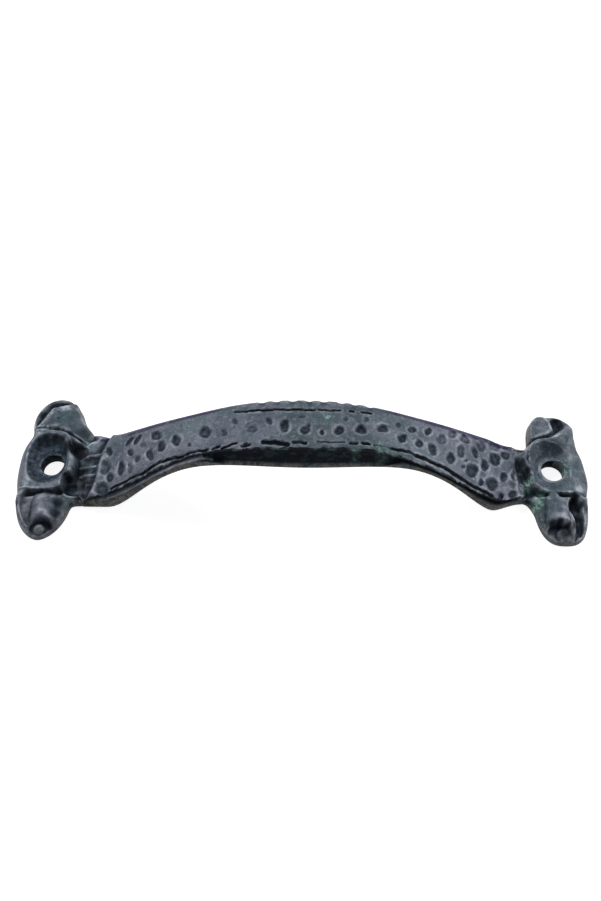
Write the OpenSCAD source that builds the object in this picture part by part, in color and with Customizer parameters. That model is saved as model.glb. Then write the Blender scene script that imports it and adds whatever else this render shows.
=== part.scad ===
// Cast drawer pull: one casting, an arched hammered bar between two scrolled feet.
// Millimetres. X runs along the bar, Y across it, Z out from the drawer front.
// The flat backs of the feet lie at Z = 0 and the middle between the two holes is at X = Y = 0.
// The front is one skin: rows across the bar, and rings round the middle of each foot.
// The heights of that skin come from the functions below, so every mark keeps to its surface.

/* [Fixing] */
// distance between the two screw holes
hole_spacing = 96; // [88:1:104]
// diameter of a screw hole
hole_d = 4.5; // [3.5:0.1:5]
// how far both holes lie to the far side of the middle line
hole_shift = 0.45; // [0:0.05:0.6]

/* [Bar] */
// height of the bar's front at the middle, over the drawer front
bar_height = 18; // [16:0.1:20]
// thickness of the bar's edge at the middle
bar_thick = 5.4; // [4.6:0.1:6]
// width of the bar at the middle
mid_width = 11.1; // [10:0.1:12.5]
// width of the bar where it is narrowest, on the slopes
waist_width = 10; // [9:0.1:11]
// width of the hammered panel before it meets the feet
panel_width = 13.9; // [12.5:0.1:14.5]
// height of the panel's front at its two ends
panel_end = 2.7; // [2.4:0.1:3]
// fall of the front from its centre line to its edges
crown = 0.2; // [0:0.05:0.6]
// extra fall of the front to its far edge
far_bevel = 0.4; // [0.1:0.05:0.6]
// extra fall of the front to its near edge
near_bevel = 0.12; // [0:0.02:0.4]
// belly of the back below its edges
belly = 0.9; // [0:0.1:1.2]
// how far the side walls are sunk under the edges of the front
wall_recess = 0.5; // [0:0.05:0.6]
// how far the lip at the foot of the side walls stands out
wall_lip = 0.3; // [0:0.05:0.5]

/* [Marks] */
// depth of the deepest hammer mark
mark_depth = 0.5; // [0.2:0.05:0.7]
// size of the hammer marks against their own sizes in the list below
mark_size = 1.12; // [0.8:0.02:1.3]
// depth of the chisel lines
chisel_depth = 0.5; // [0.2:0.05:0.6]
// depth of the scallops in the far edge
scallop_depth = 0.35; // [0:0.05:0.5]

/* [Feet] */
// height of the floor of the cup at the mouth of the hole
mouth_height = 2.4; // [2:0.1:2.8]
// height of the plate round the cup on its near side
plate_height = 3.4; // [3.1:0.05:3.7]
// height of the plate round the cup on its far side
rim_height = 4.1; // [3.8:0.05:4.5]
// height of the valley between the cup and the panel
valley_height = 1.2; // [1:0.05:1.5]
// height of the feet at their outline
edge_height = 1.1; // [0.9:0.05:1.3]
// height of the thin lip round the far scrolls
lip_height = 2.1; // [1.8:0.05:2.4]
// extra height of the bands and tongues laid on the feet
scroll_lift = 0; // [-0.2:0.05:0.3]
// depth of the grooves beside the bands, as a share of their full depth
groove_share = 1; // [0.4:0.1:1.2]
// flare of the feet's side walls down to the back
foot_flare = 0.25; // [0:0.05:0.5]

/* [Hidden] */

hole_x = hole_spacing / 2;
neck_in = 6.5;
neck_x = hole_x - neck_in;
rise_x = hole_x - 8;
gap_x = hole_x - 11.2;
gap_height = bar_height - bar_thick;
stretch = hole_spacing / 96;
// sharpness of the inner corners of the outline, and height at which bands and ribs start
blend = 12;
band_foot = 0.8;
// lowest height of a foot's front, and how fast its far facets fall away at their edge
foot_least = 0.7;
facet_fall = 0.7;

// lines of the skin across the bar, as a share of its half width
lines = [-1, -0.91, -0.82, -0.74, -0.69, -0.64, -0.54, -0.43, -0.32, -0.21, -0.1, 0,
         0.1, 0.21, 0.32, 0.43, 0.54, 0.64, 0.69, 0.74, 0.82, 0.91, 1];
// rows of the skin along the bar
rows = 104;
// where the side walls' lip starts down the wall, at the middle and on the slopes, and its rise
lip_start = [0.86, 0.15];
lip_rise = 0.14;
// lines across the back
backs = [-0.5, 0, 0.5];
// rings inside the cup, as a share of its radius, rings over the plate, and rings to the outline
cup_rings = [0.6, 0.8, 0.92, 1];
plate_rings = 2;
out_rings = 8;
// spokes of a foot outside the bar: angles from its middle and steps between them
spoke_at = [118, 62, -62, -118];
spoke_steps = [4, 18, 12, 18, 4];

// closed curves in plan, left foot and right foot:
// centre out, centre across, half length out, half length across, squareness
far_scroll = [[0.75, 10.55, 4.8, 5.9, 2], [0.8, 5, 4.5, 8.5, 3.3]];
near_scroll = [[1.05, -7.45, 4.85, 6.75, 1.75], [0.8, -5.5, 4.85, 8.75, 2.7]];
boss = [[1.7, 0, 4.7, 9, 2.1], [-0.1, -1.3, 5.95, 6, 2]];
shoulder = [[-3.2, 5.7, 4.55, 6.05, 1.25], [-2.5, -2.1, 3, 5.9, 2]];
neck = [[-6, -0.15, 12, 6.85, 4], [-6, 0.3, 12, 5.7, 4]];
plate = [[2.2, 1.05, 5.3, 6.25, 5], [1.7, 1.05, 6.2, 5.85, 4]];
cup = [[1.1, 1.3, 3.9, 5.6, 2.5], [-1.2, 0.75, 4.2, 5.55, 2.2]];
// share of the cup that is its flat floor, and the bend of the cup's wall
cup_floor = [0.6, 0.5];
cup_bend = [1.4, 1];
// rise of the arched step behind the mouth of the hole
cup_step = [0.25, 0];
// height of the valley's floor where it meets the panel
panel_foot = [valley_height + 0.5, valley_height + 1];
// height of the near scroll's floor below the plate
near_floor = [2.3, 2.9];
// length of the plate's soft fall on its far outer side
far_soft = [2.6, 3.6];
// where the broad rounding of the outer edge starts to narrow, and over what length
roll_end = [[7, 2.5], [4.5, 6]];
// the right foot's far facet is a closed curve, the left foot's is cut by two straight edges
far_facet = [-2.6, 9.6, 3.6, 3.5, 3.2];

// rounded bands laid on the feet: runs of points, out, across, half width, height
bands_left = [
    // band behind the cup
    [[6, 3.4, 1, 2.9], [4.6, 5.9, 1, 3.5], [3, 7.3, 1, 3.9], [0.9, 7.35, 1, 4.1],
     [-1.7, 6.6, 1, 4.1], [-3.4, 5.9, 0.9, 3.4], [-4.8, 5.4, 0.6, 2.3]],
    // collar beside the hole
    [[-2.2, 5, 0.9, 3.9], [-2.8, 3.4, 1, 3.7], [-3.4, 1.2, 1.1, 3.8], [-3.5, -0.2, 1.1, 3.8],
     [-3.3, -1.5, 1, 3.7], [-2.6, -2.8, 0.9, 3.5]],
    // near edge of the plate, where it turns down along the outline
    [[3.4, -5, 0.6, 3.4], [4.7, -5.5, 0.6, 3.2], [5.5, -6.5, 0.6, 2.9], [5.7, -7.6, 0.5, 2.7]]];
bands_right = [
    // band behind the cup
    [[-5.4, 2.6, 0.8, 3.8], [-4.9, 4.1, 0.9, 3.9], [-3.6, 5.5, 1, 4], [-1.4, 6.3, 1.1, 4.1],
     [0.6, 7, 1.1, 4.1], [2.2, 7.9, 1.3, 4]],
    // far tongue
    [[1.6, 6.4, 1.5, 4.15], [3, 7.4, 2.6, 4.15], [4.3, 8.8, 2.3, 4.05], [4.7, 11, 1.4, 2.8],
     [4.2, 12.4, 1, 2.2]],
    // rim of the cup on the bar side
    [[-4.6, 4.2, 0.7, 3.8], [-5.6, 2.6, 0.9, 3.8], [-4.9, 1.4, 0.8, 3.8], [-4.2, 0, 0.8, 3.6],
     [-3.6, -1.4, 0.8, 3.5], [-3.2, -2.8, 0.8, 3.4]],
    // near edge of the plate, where it turns down along the outline
    [[2.9, -4.75, 0.5, 3.4], [4.3, -5.4, 0.5, 3.3], [4.95, -6.3, 0.5, 3.1], [5.15, -7.5, 0.5, 3]],
    // ridge from the panel to the cup
    [[-9.4, 4.4, 1.5, 3], [-7.2, 3.9, 1.5, 3.1], [-5.6, 3.6, 1.2, 3.4]]];
bands = [bands_left, bands_right];
// near tongues in the same terms, and the bend of their sides
tongues = [
    [[0.5, -5.4, 3.3, 3.2], [0.5, -7.5, 3.1, 3.4], [0.4, -10, 2.8, 3.5], [0.2, -11.6, 2.5, 3.2],
     [-0.1, -13, 2, 2]],
    [[-0.9, -4.3, 1.2, 3.4], [-0.6, -6, 2.5, 3.4], [-0.1, -8, 2.9, 3.5], [0.05, -10, 2.9, 3.5],
     [0.1, -11, 2.8, 3.2]]];
tongue_bend = [1, 0.7];
// low ribs across the valley, in the same terms
ribs = [[[[-9, 3.2, 0.9, 2.2], [-5.4, 2.8, 0.8, 1.7]], [[-8.9, 0.7, 0.8, 2.1], [-5, 0.3, 0.7, 1.6]],
         [[-8.8, -1.2, 0.8, 2.1], [-5.2, -1.6, 0.7, 1.7]], [[-8.4, -3.6, 0.9, 2], [-6.2, -3.4, 0.8, 1.6]]],
        [[[-8.2, -2.2, 1, 2.4], [-5.8, -2.4, 0.8, 1.9]]]];
// hollows sunk in the feet: closed curves and their floor heights
hollows = [[[0.4, -12.95, 1.95, 1.75, 2, 1], [-4.5, 3.9, 1.4, 1.25, 2.2, 0.9],
            [-4.4, -3.7, 1.8, 1.9, 2.4, 1]],
           [[3, -9.3, 1.1, 3.6, 2.8, 0.8], [0.1, -12.7, 2.4, 1.7, 2.8, 0.9],
            [2.3, 11.3, 1, 1.5, 2.4, 1.2]]];
// balls and horns set in the hollows: runs of points as for the bands
curls = [[[[0.73, -12.75, 1, 2.1], [0.78, -12.85, 1, 2.1]]],
         [[[0.8, -12.8, 1.7, 1.9], [0.9, -12.9, 1.7, 1.9]],
          [[1.3, -8.4, 0.4, 3.1], [1.8, -9.6, 0.65, 3.3], [2.05, -10.8, 0.75, 3.1], [2.05, -12, 0.7, 2.6],
           [1.8, -13.2, 0.5, 1.9]]]];
// grooves beside the bands: out, across, half width, depth
grooves = [
    [[[5, 8.4, 0.5, 0.5], [2.6, 8.7, 0.55, 0.6], [0.5, 8.5, 0.55, 0.7], [-1.5, 7.9, 0.5, 0.6],
      [-3.6, 6.9, 0.45, 0.5], [-5, 6.1, 0.4, 0.4]],
     [[4.2, -6.1, 0.4, 0.4], [2.5, -5.75, 0.5, 0.6], [-0.5, -5.7, 0.5, 0.6], [-2.2, -5.5, 0.5, 0.5]]],
    [[[-5.3, 6, 0.4, 0.4], [-3.8, 6.9, 0.45, 0.5], [-1.6, 7.7, 0.5, 0.6], [0.2, 8.4, 0.45, 0.5],
      [1.9, 9.5, 0.4, 0.5], [2.9, 10.6, 0.4, 0.4]],
     [[-3.6, -5, 0.4, 0.6], [-2, -5.05, 0.35, 0.6]],
     [[0.4, -5.1, 0.35, 0.6], [2.2, -5.25, 0.35, 0.7]]]];
// pits where the valley meets the cup: out, across, half length, half width, depth
pits = [[[-4.1, 4, 1.5, 1.3, 0.8], [-5.1, -1, 1.4, 2.2, 0.5], [-4.2, -4.4, 1.6, 1.8, 0.5]],
        [[-6.5, 1.3, 1.6, 1.4, 0.8], [-5.9, -1.2, 1.5, 2.2, 0.6], [-5, -4.6, 1.4, 1.4, 0.4]]];

// hammer marks: along, across, half length, half width, turn, share of mark_depth
marks_left = [
    [-37.4, 3.1, 0.7, 1.1, 30, 0.7], [-33.2, 3.9, 0.6, 1.2, -45, 0.6], [-31.5, 3.6, 0.7, 1.2, -25, 0.75],
    [-30.1, 1.8, 0.5, 1, 45, 0.35], [-27.5, 2.8, 0.9, 1.4, 45, 0.8], [-32.6, 1.2, 0.6, 1.1, 25, 0.7],
    [-28.3, -1.2, 0.7, 1.4, 25, 0.9], [-26.1, -0.2, 0.85, 1.3, 10, 0.9], [-37.9, -0.4, 1.2, 1.9, 25, 0.7],
    [-36.4, -2.9, 0.8, 1.2, 25, 0.7], [-34.2, -1.7, 0.8, 1.7, 5, 0.8], [-32.3, -2.4, 0.6, 1.3, 15, 0.4],
    [-30.9, -1, 0.6, 1, 25, 0.5], [-37.8, -5, 1.7, 1.2, -45, 1], [-23.2, 0, 0.8, 1.4, 25, 0.9],
    [-20.4, -2, 0.35, 0.5, 40, 0.5], [-17.7, 0, 1, 1.5, 30, 1]];
marks_middle = [
    [-14.1, -1, 0.6, 0.9, 20, 0.35], [-12.3, 1.2, 0.6, 0.7, 40, 0.35], [-9.1, -0.9, 1.1, 0.8, 10, 0.4],
    [-6.1, 0.6, 0.7, 0.8, 25, 0.5], [-3.4, -0.4, 0.9, 1.5, 0, 1], [0.3, -1.3, 0.9, 1, 0, 0.8],
    [0.9, -0.4, 0.45, 0.5, 0, 0.5], [-0.3, 1.5, 0.7, 0.45, 0, 0.3], [3.2, -1.8, 0.5, 0.6, -5, 0.7],
    [-10.1, -4, 0.55, 0.4, -15, 0.7], [6.3, -1.1, 1.1, 0.8, 45, 1], [10.2, -0.5, 1.1, 0.95, 25, 1],
    [14.1, 0.4, 1.2, 0.85, 15, 1], [7.5, 1.4, 0.7, 0.55, 15, 0.3], [11.2, 1.8, 0.7, 0.55, 30, 0.4]];
marks_right = [
    [17.1, 1.8, 0.5, 0.7, -40, 0.6], [19.7, 1.7, 1, 0.7, 45, 0.6], [17.7, -0.8, 0.8, 1.1, -40, 1],
    [20.9, -0.9, 0.7, 1, -35, 0.8], [22.9, 2.5, 0.6, 1.1, -25, 0.7], [23.5, -1.2, 0.9, 1.3, -5, 0.95],
    [25.6, 1.9, 0.9, 1.5, -30, 0.5], [27.9, 4.1, 0.8, 1.3, -40, 0.6], [27.1, -1.6, 0.8, 1.4, -20, 0.9],
    [29.4, 0.9, 0.8, 1.7, -15, 0.7], [30.6, 4.3, 1.3, 1, 45, 0.7], [32.5, 2.1, 0.7, 1.3, -5, 0.7],
    [29.6, -2.3, 0.65, 0.35, 40, 0.5], [31.4, -2.4, 1.1, 1.9, -35, 1], [34.4, 0, 0.8, 1.4, -15, 1],
    [34.1, 4.2, 1, 1.5, -20, 0.7], [37, 5.3, 1.5, 1.1, 40, 0.5], [36.8, 2.2, 1.15, 1.6, -30, 1],
    [35.5, -3.7, 1.1, 1.7, -25, 1], [33.1, -4.2, 0.5, 0.95, -20, 0.7], [38.2, -1.4, 0.8, 1.2, -25, 0.6],
    [39.1, 3.6, 1.1, 0.9, 30, 0.6], [40.7, -0.7, 0.95, 1.4, -15, 0.8], [39.6, -4.9, 1, 0.8, 35, 0.8],
    [37.1, -5.8, 0.5, 0.7, -40, 0.9], [30.3, -0.7, 0.55, 0.2, 45, 0.5]];
marks = concat(marks_left, marks_middle, marks_right);
// how far the edges of the marks wander
wobble = 0.14;
// the broad shallow arc struck round one mark: along, across, half length, half width, its height
ring_mark = [-8.6, -1.2, 2.5, 2.2];
ring_rise = 0.1;

// chisel strokes: start along and across, end along and across, half width, share of chisel_depth
strokes_far = [
    [-12.4, 3.2, -9.6, 3.15, 0.3, 0.6], [-9.4, 3.15, 2, 3.1, 0.3, 0.8], [2.6, 3.1, 6.6, 3.15, 0.28, 0.6],
    [8.3, 3.25, 8.9, 3.25, 0.35, 0.7], [10.4, 3.2, 12.2, 3.35, 0.3, 0.7]];
strokes_near = [
    [-35.8, -5.5, -32.2, -4.8, 0.4, 0.8], [-32.4, -4.8, -29.2, -4.5, 0.4, 0.8],
    [-29.4, -4.6, -26, -3.5, 0.5, 1], [-26.2, -3.5, -21.6, -3.9, 0.5, 1], [-21, -3.7, -19.2, -3.7, 0.4, 0.8],
    [-18.8, -3.65, -17, -3.9, 0.35, 0.8], [-16, -4, -14.8, -3.6, 0.35, 0.7],
    [-14.4, -4.1, -11.8, -3.5, 0.35, 0.8], [-10.8, -4.2, -9.4, -4.1, 0.4, 0.7],
    [-7, -3.6, -2.8, -4.2, 0.65, 1], [-1.8, -3.85, 0.4, -3.95, 0.45, 0.8], [2.4, -3.75, 7.2, -3.6, 0.25, 0.5],
    [8.2, -3.6, 9.4, -3.55, 0.4, 0.8], [10.3, -3.45, 11.6, -3.4, 0.4, 0.8], [12.4, -3.4, 16, -3.55, 0.3, 0.4],
    [15.6, -3.5, 19, -3.4, 0.45, 0.9], [18.8, -3.2, 20.4, -3.7, 0.4, 0.7], [20.2, -3.7, 25.8, -4.3, 0.55, 1],
    [25.6, -4.25, 30.2, -5.5, 0.6, 1], [30, -5.5, 35.2, -6.2, 0.55, 1]];
strokes = concat(strokes_far, strokes_near);
// scallops in the far edge, by their places along the bar
scallops = [-7.5, -4.9, -2, 1, 3.6, 6.8, 9.2, 11.9];
scallop_half = 0.85;

function unit(t) = max(0, min(1, t));
function ease(t) = let (s = unit(t)) s * s * (3 - 2 * s);
function mix(a, b, t) = a + (b - a) * t;
function soft_max(a, b) = (a + b + sqrt(pow(a - b, 2) + 0.01)) / 2;

// side view of the bar: its front, and the arch of its back
function front(x) =
    panel_end + (bar_height - panel_end) * pow(1 - pow(unit(abs(x) / rise_x), 2.6), 1.68);
function arch(x) = gap_height * pow(1 - pow(unit(abs(x) / gap_x), 5), 2);

// outline of a foot: closed curves joined with rounded inner corners
function curve(u, v, c) =
    pow(pow(abs(u - c[0]) / c[2], c[4]) + pow(abs(v - c[1]) / c[3], c[4]), 1 / c[4]);
function one(u, v, c) = pow(max(curve(u, v, c), 0.001), -blend);
function inside(u, v, f) =
    pow(one(u, v, far_scroll[f]) + one(u, v, near_scroll[f]) + one(u, v, boss[f])
        + one(u, v, shoulder[f]) + one(u, v, neck[f]), -1 / blend);
function edge_gap(u, v, f) =
    let (g = inside(u, v, f), gu = inside(u + 0.02, v, f) - g, gv = inside(u, v + 0.02, f) - g)
    min(9, max(0, (1 - g) / max(norm([gu, gv]) / 0.02, 0.03)));
// how far a spoke reaches to the outline, and to a closed curve
function reach(a, f, lo = 1.5, hi = 22, n = 24) =
    let (m = (lo + hi) / 2)
    n == 0 ? m
    : inside(m * cos(a), m * sin(a), f) < 1 ? reach(a, f, m, hi, n - 1) : reach(a, f, lo, m, n - 1);
function curve_reach(a, c, lo = 1.5, hi = 12, n = 24) =
    let (m = (lo + hi) / 2)
    n == 0 ? m
    : curve(m * cos(a), m * sin(a), c) < 1 ? curve_reach(a, c, m, hi, n - 1)
    : curve_reach(a, c, lo, m, n - 1);
// half width of a neck where the bar joins the foot, on the side s
function neck_half(f, s, lo = 3, hi = 9, n = 24) =
    let (m = (lo + hi) / 2)
    n == 0 ? m
    : inside(-neck_in, s * m, f) < 1 ? neck_half(f, s, m, hi, n - 1) : neck_half(f, s, lo, m, n - 1);
neck_far = [neck_half(0, 1), neck_half(1, 1)];
neck_near = [neck_half(0, -1), neck_half(1, -1)];

// plan view of the bar: half width along it, and the same on its two sides
function widths(x, necks) =
    let (a = abs(x))
    mid_width / 2 - (mid_width - waist_width) / 2 * ease(a / stretch / 18)
        + (panel_width - waist_width) / 2 * ease((a / stretch - 18) / 20)
        + (necks[x < 0 ? 0 : 1] - panel_width / 2) * ease((a - neck_x + 6.5) / 6.5);
function far_half(x) = widths(x, neck_far);
function near_half(x) =
    widths(x, neck_near) + mix(-0.6, 0.35, ease((x / stretch + 18) / 30))
        * ease((abs(x) - 10) / 12) * ease((neck_x - abs(x)) / 5);
function side_half(x, s) = s < 0 ? near_half(x) : far_half(x);

// place beside a straight run from a to b: distance over half width, and the fourth value there
function along(u, v, a, b) =
    let (d = [b[0] - a[0], b[1] - a[1]], w = [u - a[0], v - a[1]], t = unit(w * d / (d * d)))
    [norm(w - t * d) / mix(a[2], b[2], t), mix(a[3], b[3], t)];
function round_share(s, bend) = pow(max(0, 1 - s * s), bend);
function strip(u, v, run, low, bend) = max([for (k = [1 : len(run) - 1])
    let (s = along(u, v, run[k - 1], run[k])) low + (s[1] - low) * round_share(s[0], bend)]);
function groove(u, v, run) = max([for (k = [1 : len(run) - 1])
    let (s = along(u, v, run[k - 1], run[k])) s[1] * round_share(s[0], 1)]);

// marks struck in the front
function mark(x, y, m) =
    let (u = x - m[0] * stretch, v = y - m[1],
         p = (u * cos(m[4]) + v * sin(m[4])) / m[2], q = (v * cos(m[4]) - u * sin(m[4])) / m[3])
    mark_depth * m[5] * min(1, 1.5 * (1 - (p * p + q * q) / mark_size / mark_size));
function hammered(x0, y0) =
    let (x = x0 + wobble * sin(150 * y0 + 70 * x0), y = y0 + wobble * sin(170 * x0 - 50 * y0),
         u = x - ring_mark[0] * stretch, v = y - ring_mark[1],
         r = norm([u / ring_mark[2], v / ring_mark[3]]))
    max([0, for (m = marks) if (abs(x - m[0] * stretch) < 2.6 && abs(y - m[1]) < 2.6) mark(x, y, m)])
        - ring_rise * unit(1 - abs(r - 1) / 0.3) * unit((v - 0.3 * u) / 1.5);
function stroke(x, y, s) =
    let (d = along(x, y, [s[0] * stretch, s[1], s[4], s[5]], [s[2] * stretch, s[3], s[4], s[5]]))
    d[1] * chisel_depth * unit(1 - d[0]);
function chiselled(x, y) = max([0, for (s = strokes) if (y * s[1] > 0) stroke(x, y, s)]);
function scalloped(x, v) =
    v < 0.78 ? 0
    : scallop_depth * (v - 0.78) / 0.22
        * max([0, for (c = scallops) 1 - pow((x - c * stretch) / scallop_half, 2)]);

// far facets of the feet: distance out from their crest, and height at it
function facet_out(u, v, f) =
    f == 1 ? outward(u, v, far_facet)
    : soft_max((v - 13 + 0.29 * (u - 1.8)) / 1.04, 0.83 * (u - 1.8) + 0.56 * (v - 12.95));
function facet_top(u, v, f) =
    f == 1 ? 2.9 - 0.02 * pow(v - 10, 2)
    : mix(2.3, 3.6, unit((v - 8) / 5)) - 0.06 * pow(max(0, -0.5 - u), 2);
function outward(u, v, c) = norm([u - c[0], v - c[1]]) * (1 - 1 / max(curve(u, v, c), 0.001));

function plate_top(v) = mix(plate_height, rim_height, ease((v + 1) / 7));
// the floors of a foot: plate, valley, near scroll's floor and far facet
function ground(u, v, f) =
    let (valley = mix(valley_height, panel_foot[f], ease((-u - 4.8) / 2.6)),
         near = mix(near_floor[f], 1.2, pow(unit((-5.8 - v) / 7), f == 0 ? 1.2 : 0.8))
             - 0.2 * max(0, -1.5 - u),
         low = mix(valley, max(near, 1), ease((-4.2 - v) / 1.5) * ease((u + 6.5) / 2.5)),
         back = mix(facet_top(u, v, f), 1.55, ease(facet_out(u, v, f) / facet_fall)),
         floor = mix(low, back, ease(v - 6.2) * ease((u + 8) / 2.5)),
         soft = mix(0.5, far_soft[f], ease((v - 3) / 2) * ease((u - 1) / 1.5)))
    mix(plate_top(v), floor, ease(outward(u, v, plate[f]) / soft));
// thin raised edge along the outline, g being the distance in from it
function lip(u, v, g, f) =
    v < 0
    ? (1.25 + 1.6 * unit((v + 13.5) / 8) * ease((u + 1) / 4))
        * (1 - pow((g - 0.7) / 0.75, 2)) * ease(-4.6 - v)
    : (lip_height - 0.1 * f)
        * (1 - pow(max(g - 0.3, 0) / 1.9, 2)) * ease((v - 7.5) / 1.5) * ease((u + 3) / 2);
function banded(z, u, v, runs, k = 0) =
    k == len(runs) ? z
    : banded(soft_max(z, strip(u, v, runs[k], band_foot, 0.6) + scroll_lift), u, v, runs, k + 1);
function hollowed(z, u, v, list, k = 0) =
    k == len(list) ? z
    : let (c = list[k])
        hollowed(min(z, mix(c[5], z, ease(outward(u, v, c) / 0.45))), u, v, list, k + 1);
function cut(u, v, f) =
    groove_share * sum([for (run = grooves[f]) groove(u, v, run)])
        + sum([for (p = pits[f])
            p[4] * pow(max(0, 1 - pow((u - p[0]) / p[2], 2) - pow((v - p[1]) / p[3], 2)), 2)]);
function sum(list, k = 0) = k == len(list) ? 0 : list[k] + sum(list, k + 1);
// the cup: a flat floor round the hole and a wall that rises to the plate
function cupped(z, u, v, f) =
    let (k = curve(u, v, cup[f]), share = unit((k - cup_floor[f]) / (1 - cup_floor[f])),
         dish = mix(ease(share), pow(share, cup_bend[f]), ease((v + 3) / 3)),
         step = ease((norm([u, v - hole_shift]) - 2.7) / 0.6) * ease((v + 0.6 * u) / 2.5),
         floor = mouth_height + cup_step[f] * step)
    k < 1 ? min(mix(floor, plate_top(v), dish), z) : z;
// height of a foot's front, g being the distance in from its outline
function relief(u, v, g, f) =
    let (flat = max(ground(u, v, f), lip(u, v, g, f)),
         laid = banded(flat, u, v, bands[f]),
         tongued = soft_max(laid, strip(u, v, tongues[f], band_foot, tongue_bend[f]) + scroll_lift),
         raised = max([tongued, for (run = ribs[f]) strip(u, v, run, band_foot, 1)]),
         open = hollowed(raised - cut(u, v, f), u, v, hollows[f]),
         curled = max([open, for (run = curls[f]) strip(u, v, run, 1, 0.55)]),
         z = cupped(curled, u, v, f),
         end = ease((v - roll_end[f][0]) / roll_end[f][1]),
         side = ease((u - 1) / 2.5) * ease((v + 5.8) / 1.2) * (1 - end),
         roll = mix(0.45, 2.4, side),
         turned = edge_height + (z - edge_height) * sqrt(max(0, 1 - pow(1 - unit(g / roll), 2))))
    max(min(z, turned), foot_least);

// height of the bar's front at x along it and v across it
function panel_stop(x, v) =
    x < 0 ? hole_x - 8.7 - 1.5 * v + 0.35 * cos(200 * v - 80) : hole_x - 7.1 + 0.2 * v;
function bar_top(x, v) =
    let (half = side_half(x, v), y = v * half, f = x < 0 ? 0 : 1,
         fall = (v < 0 ? near_bevel : far_bevel) * pow(unit((abs(v) - 0.74) / 0.26), 1.3),
         plain = front(x) - crown * v * v - fall,
         t = ease((abs(x) - panel_stop(x, v)) / 0.8 + 0.5),
         z = t == 0 ? plain
             : mix(plain, min(relief(abs(x) - hole_x, y, (1 - abs(v)) * half, f), plain + 0.4), t))
    z - (hammered(x, y) + chiselled(x, y)) * ease(neck_x - abs(x)) - scalloped(x, v);

// side wall of the bar at the share t down it, on the side s: sunk, with a lip along its foot
function lip_from(x) = mix(lip_start[0], lip_start[1], ease((abs(x) / stretch - 13.5) / 5));
function wall_half(x, t, s) =
    let (share = ease((t - lip_from(x)) / lip_rise), base = widths(x, s < 0 ? neck_near : neck_far))
    mix(base + foot_flare * t,
        mix(side_half(x, s), base + wall_lip, share) - wall_recess * ease(t / 0.08) * (1 - share),
        unit((neck_x - abs(x)) / 4.5));
function levels(x) = [0, lip_from(x), lip_from(x) + 0.7 * lip_rise, 1];

// vertices of the bar
nl = len(lines);
nw = len(levels(0)) - 1;
nb = len(backs);
row_x = [for (i = [0 : rows]) -neck_x + 2 * neck_x * i / rows];
top_z = [for (x = row_x) [for (v = lines) bar_top(x, v)]];
top_pts = [for (i = [0 : rows], j = [0 : nl - 1])
    [row_x[i], lines[j] * side_half(row_x[i], lines[j]), top_z[i][j]]];
wall_pts = [for (s = [-1, 1], i = [0 : rows], k = [1 : nw])
    let (x = row_x[i], z = top_z[i][s < 0 ? 0 : nl - 1], t = levels(x)[k])
    [x, s * wall_half(x, t, s), max(z - max(z - arch(x), 0.3) * t, 0)]];
back_pts = [for (x = row_x, b = backs)
    let (z = arch(x)) [x, b * side_half(x, b), max(0, z - belly * unit(z / 2) * pow(1 - b * b, 0.8))]];

// spokes and rings of the feet
function spread(a, b, n, from) = [for (i = [from : n - 1]) a + (b - a) * i / n];
function free_spokes(f) =
    let (at = concat([atan2(neck_far[f], -neck_in)], spoke_at, [atan2(-neck_near[f], -neck_in)]))
    [for (k = [0 : len(spoke_steps) - 1]) each spread(at[k], at[k + 1], spoke_steps[k], k == 0 ? 1 : 0)];
function neck_y(f, v) = v * (v < 0 ? neck_near[f] : neck_far[f]);
spokes = [for (f = [0, 1]) concat([for (v = lines) atan2(neck_y(f, v), -neck_in)], free_spokes(f))];
ns = len(spokes[0]);
nc = len(cup_rings);
nr = nc + plate_rings + 1 + out_rings;
outlines = [for (f = [0, 1]) [for (j = [0 : ns - 1])
    j < nl ? norm([neck_in, neck_y(f, lines[j])]) : reach(spokes[f][j], f)]];
cups = [for (f = [0, 1]) [for (j = [0 : ns - 1])
    min(max(curve_reach(spokes[f][j], cup[f]), hole_d / 2 + 0.6), outlines[f][j] - 1)]];
plates = [for (f = [0, 1]) [for (j = [0 : ns - 1])
    min(max(curve_reach(spokes[f][j], plate[f]), cups[f][j] + 0.2), outlines[f][j] - 0.8)]];
function ring_r(f, k, j) =
    let (c = cups[f][j], p = plates[f][j], b = outlines[f][j], drop = min(p + 0.5, b - 0.3))
    k < nc ? c * cup_rings[k]
    : k < nc + plate_rings ? mix(c, p, (k - nc + 1) / plate_rings)
    : mix(drop, b, 1 - pow(1 - (k - nc - plate_rings) / out_rings, 1.3));
function foot_z(f, r, j) =
    let (a = spokes[f][j], c = cups[f][j], u = r * cos(a), v = r * sin(a),
         z = relief(u, v, edge_gap(u, v, f), f))
    j < nl ? mix(z, top_z[f == 0 ? 0 : rows][j], pow(unit((r - c) / (outlines[f][j] - c)), 4)) : z;
function foot_point(f, k, j) =
    let (r = ring_r(f, k, j), a = spokes[f][j])
    [(f == 0 ? -1 : 1) * (hole_x + r * cos(a)), r * sin(a), foot_z(f, r, j)];
foot_pts = [for (f = [0, 1]) [
    for (k = [0 : nr - 1], j = [0 : ns - 1]) if (k < nr - 1 || j >= nl) foot_point(f, k, j),
    for (j = [nl : ns - 1], k = [1 : nw])
        let (p = foot_point(f, nr - 1, j), a = spokes[f][j], t = levels(neck_x)[k], o = foot_flare * t)
        [p[0] + (f == 0 ? -1 : 1) * o * cos(a), p[1] + o * sin(a), p[2] * (1 - t)],
    [(f == 0 ? -1 : 1) * hole_x, 0, mouth_height],
    [(f == 0 ? -1 : 1) * hole_x, 0, 0]]];
skin_pts = concat(top_pts, wall_pts, back_pts, foot_pts[0], foot_pts[1]);

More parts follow.
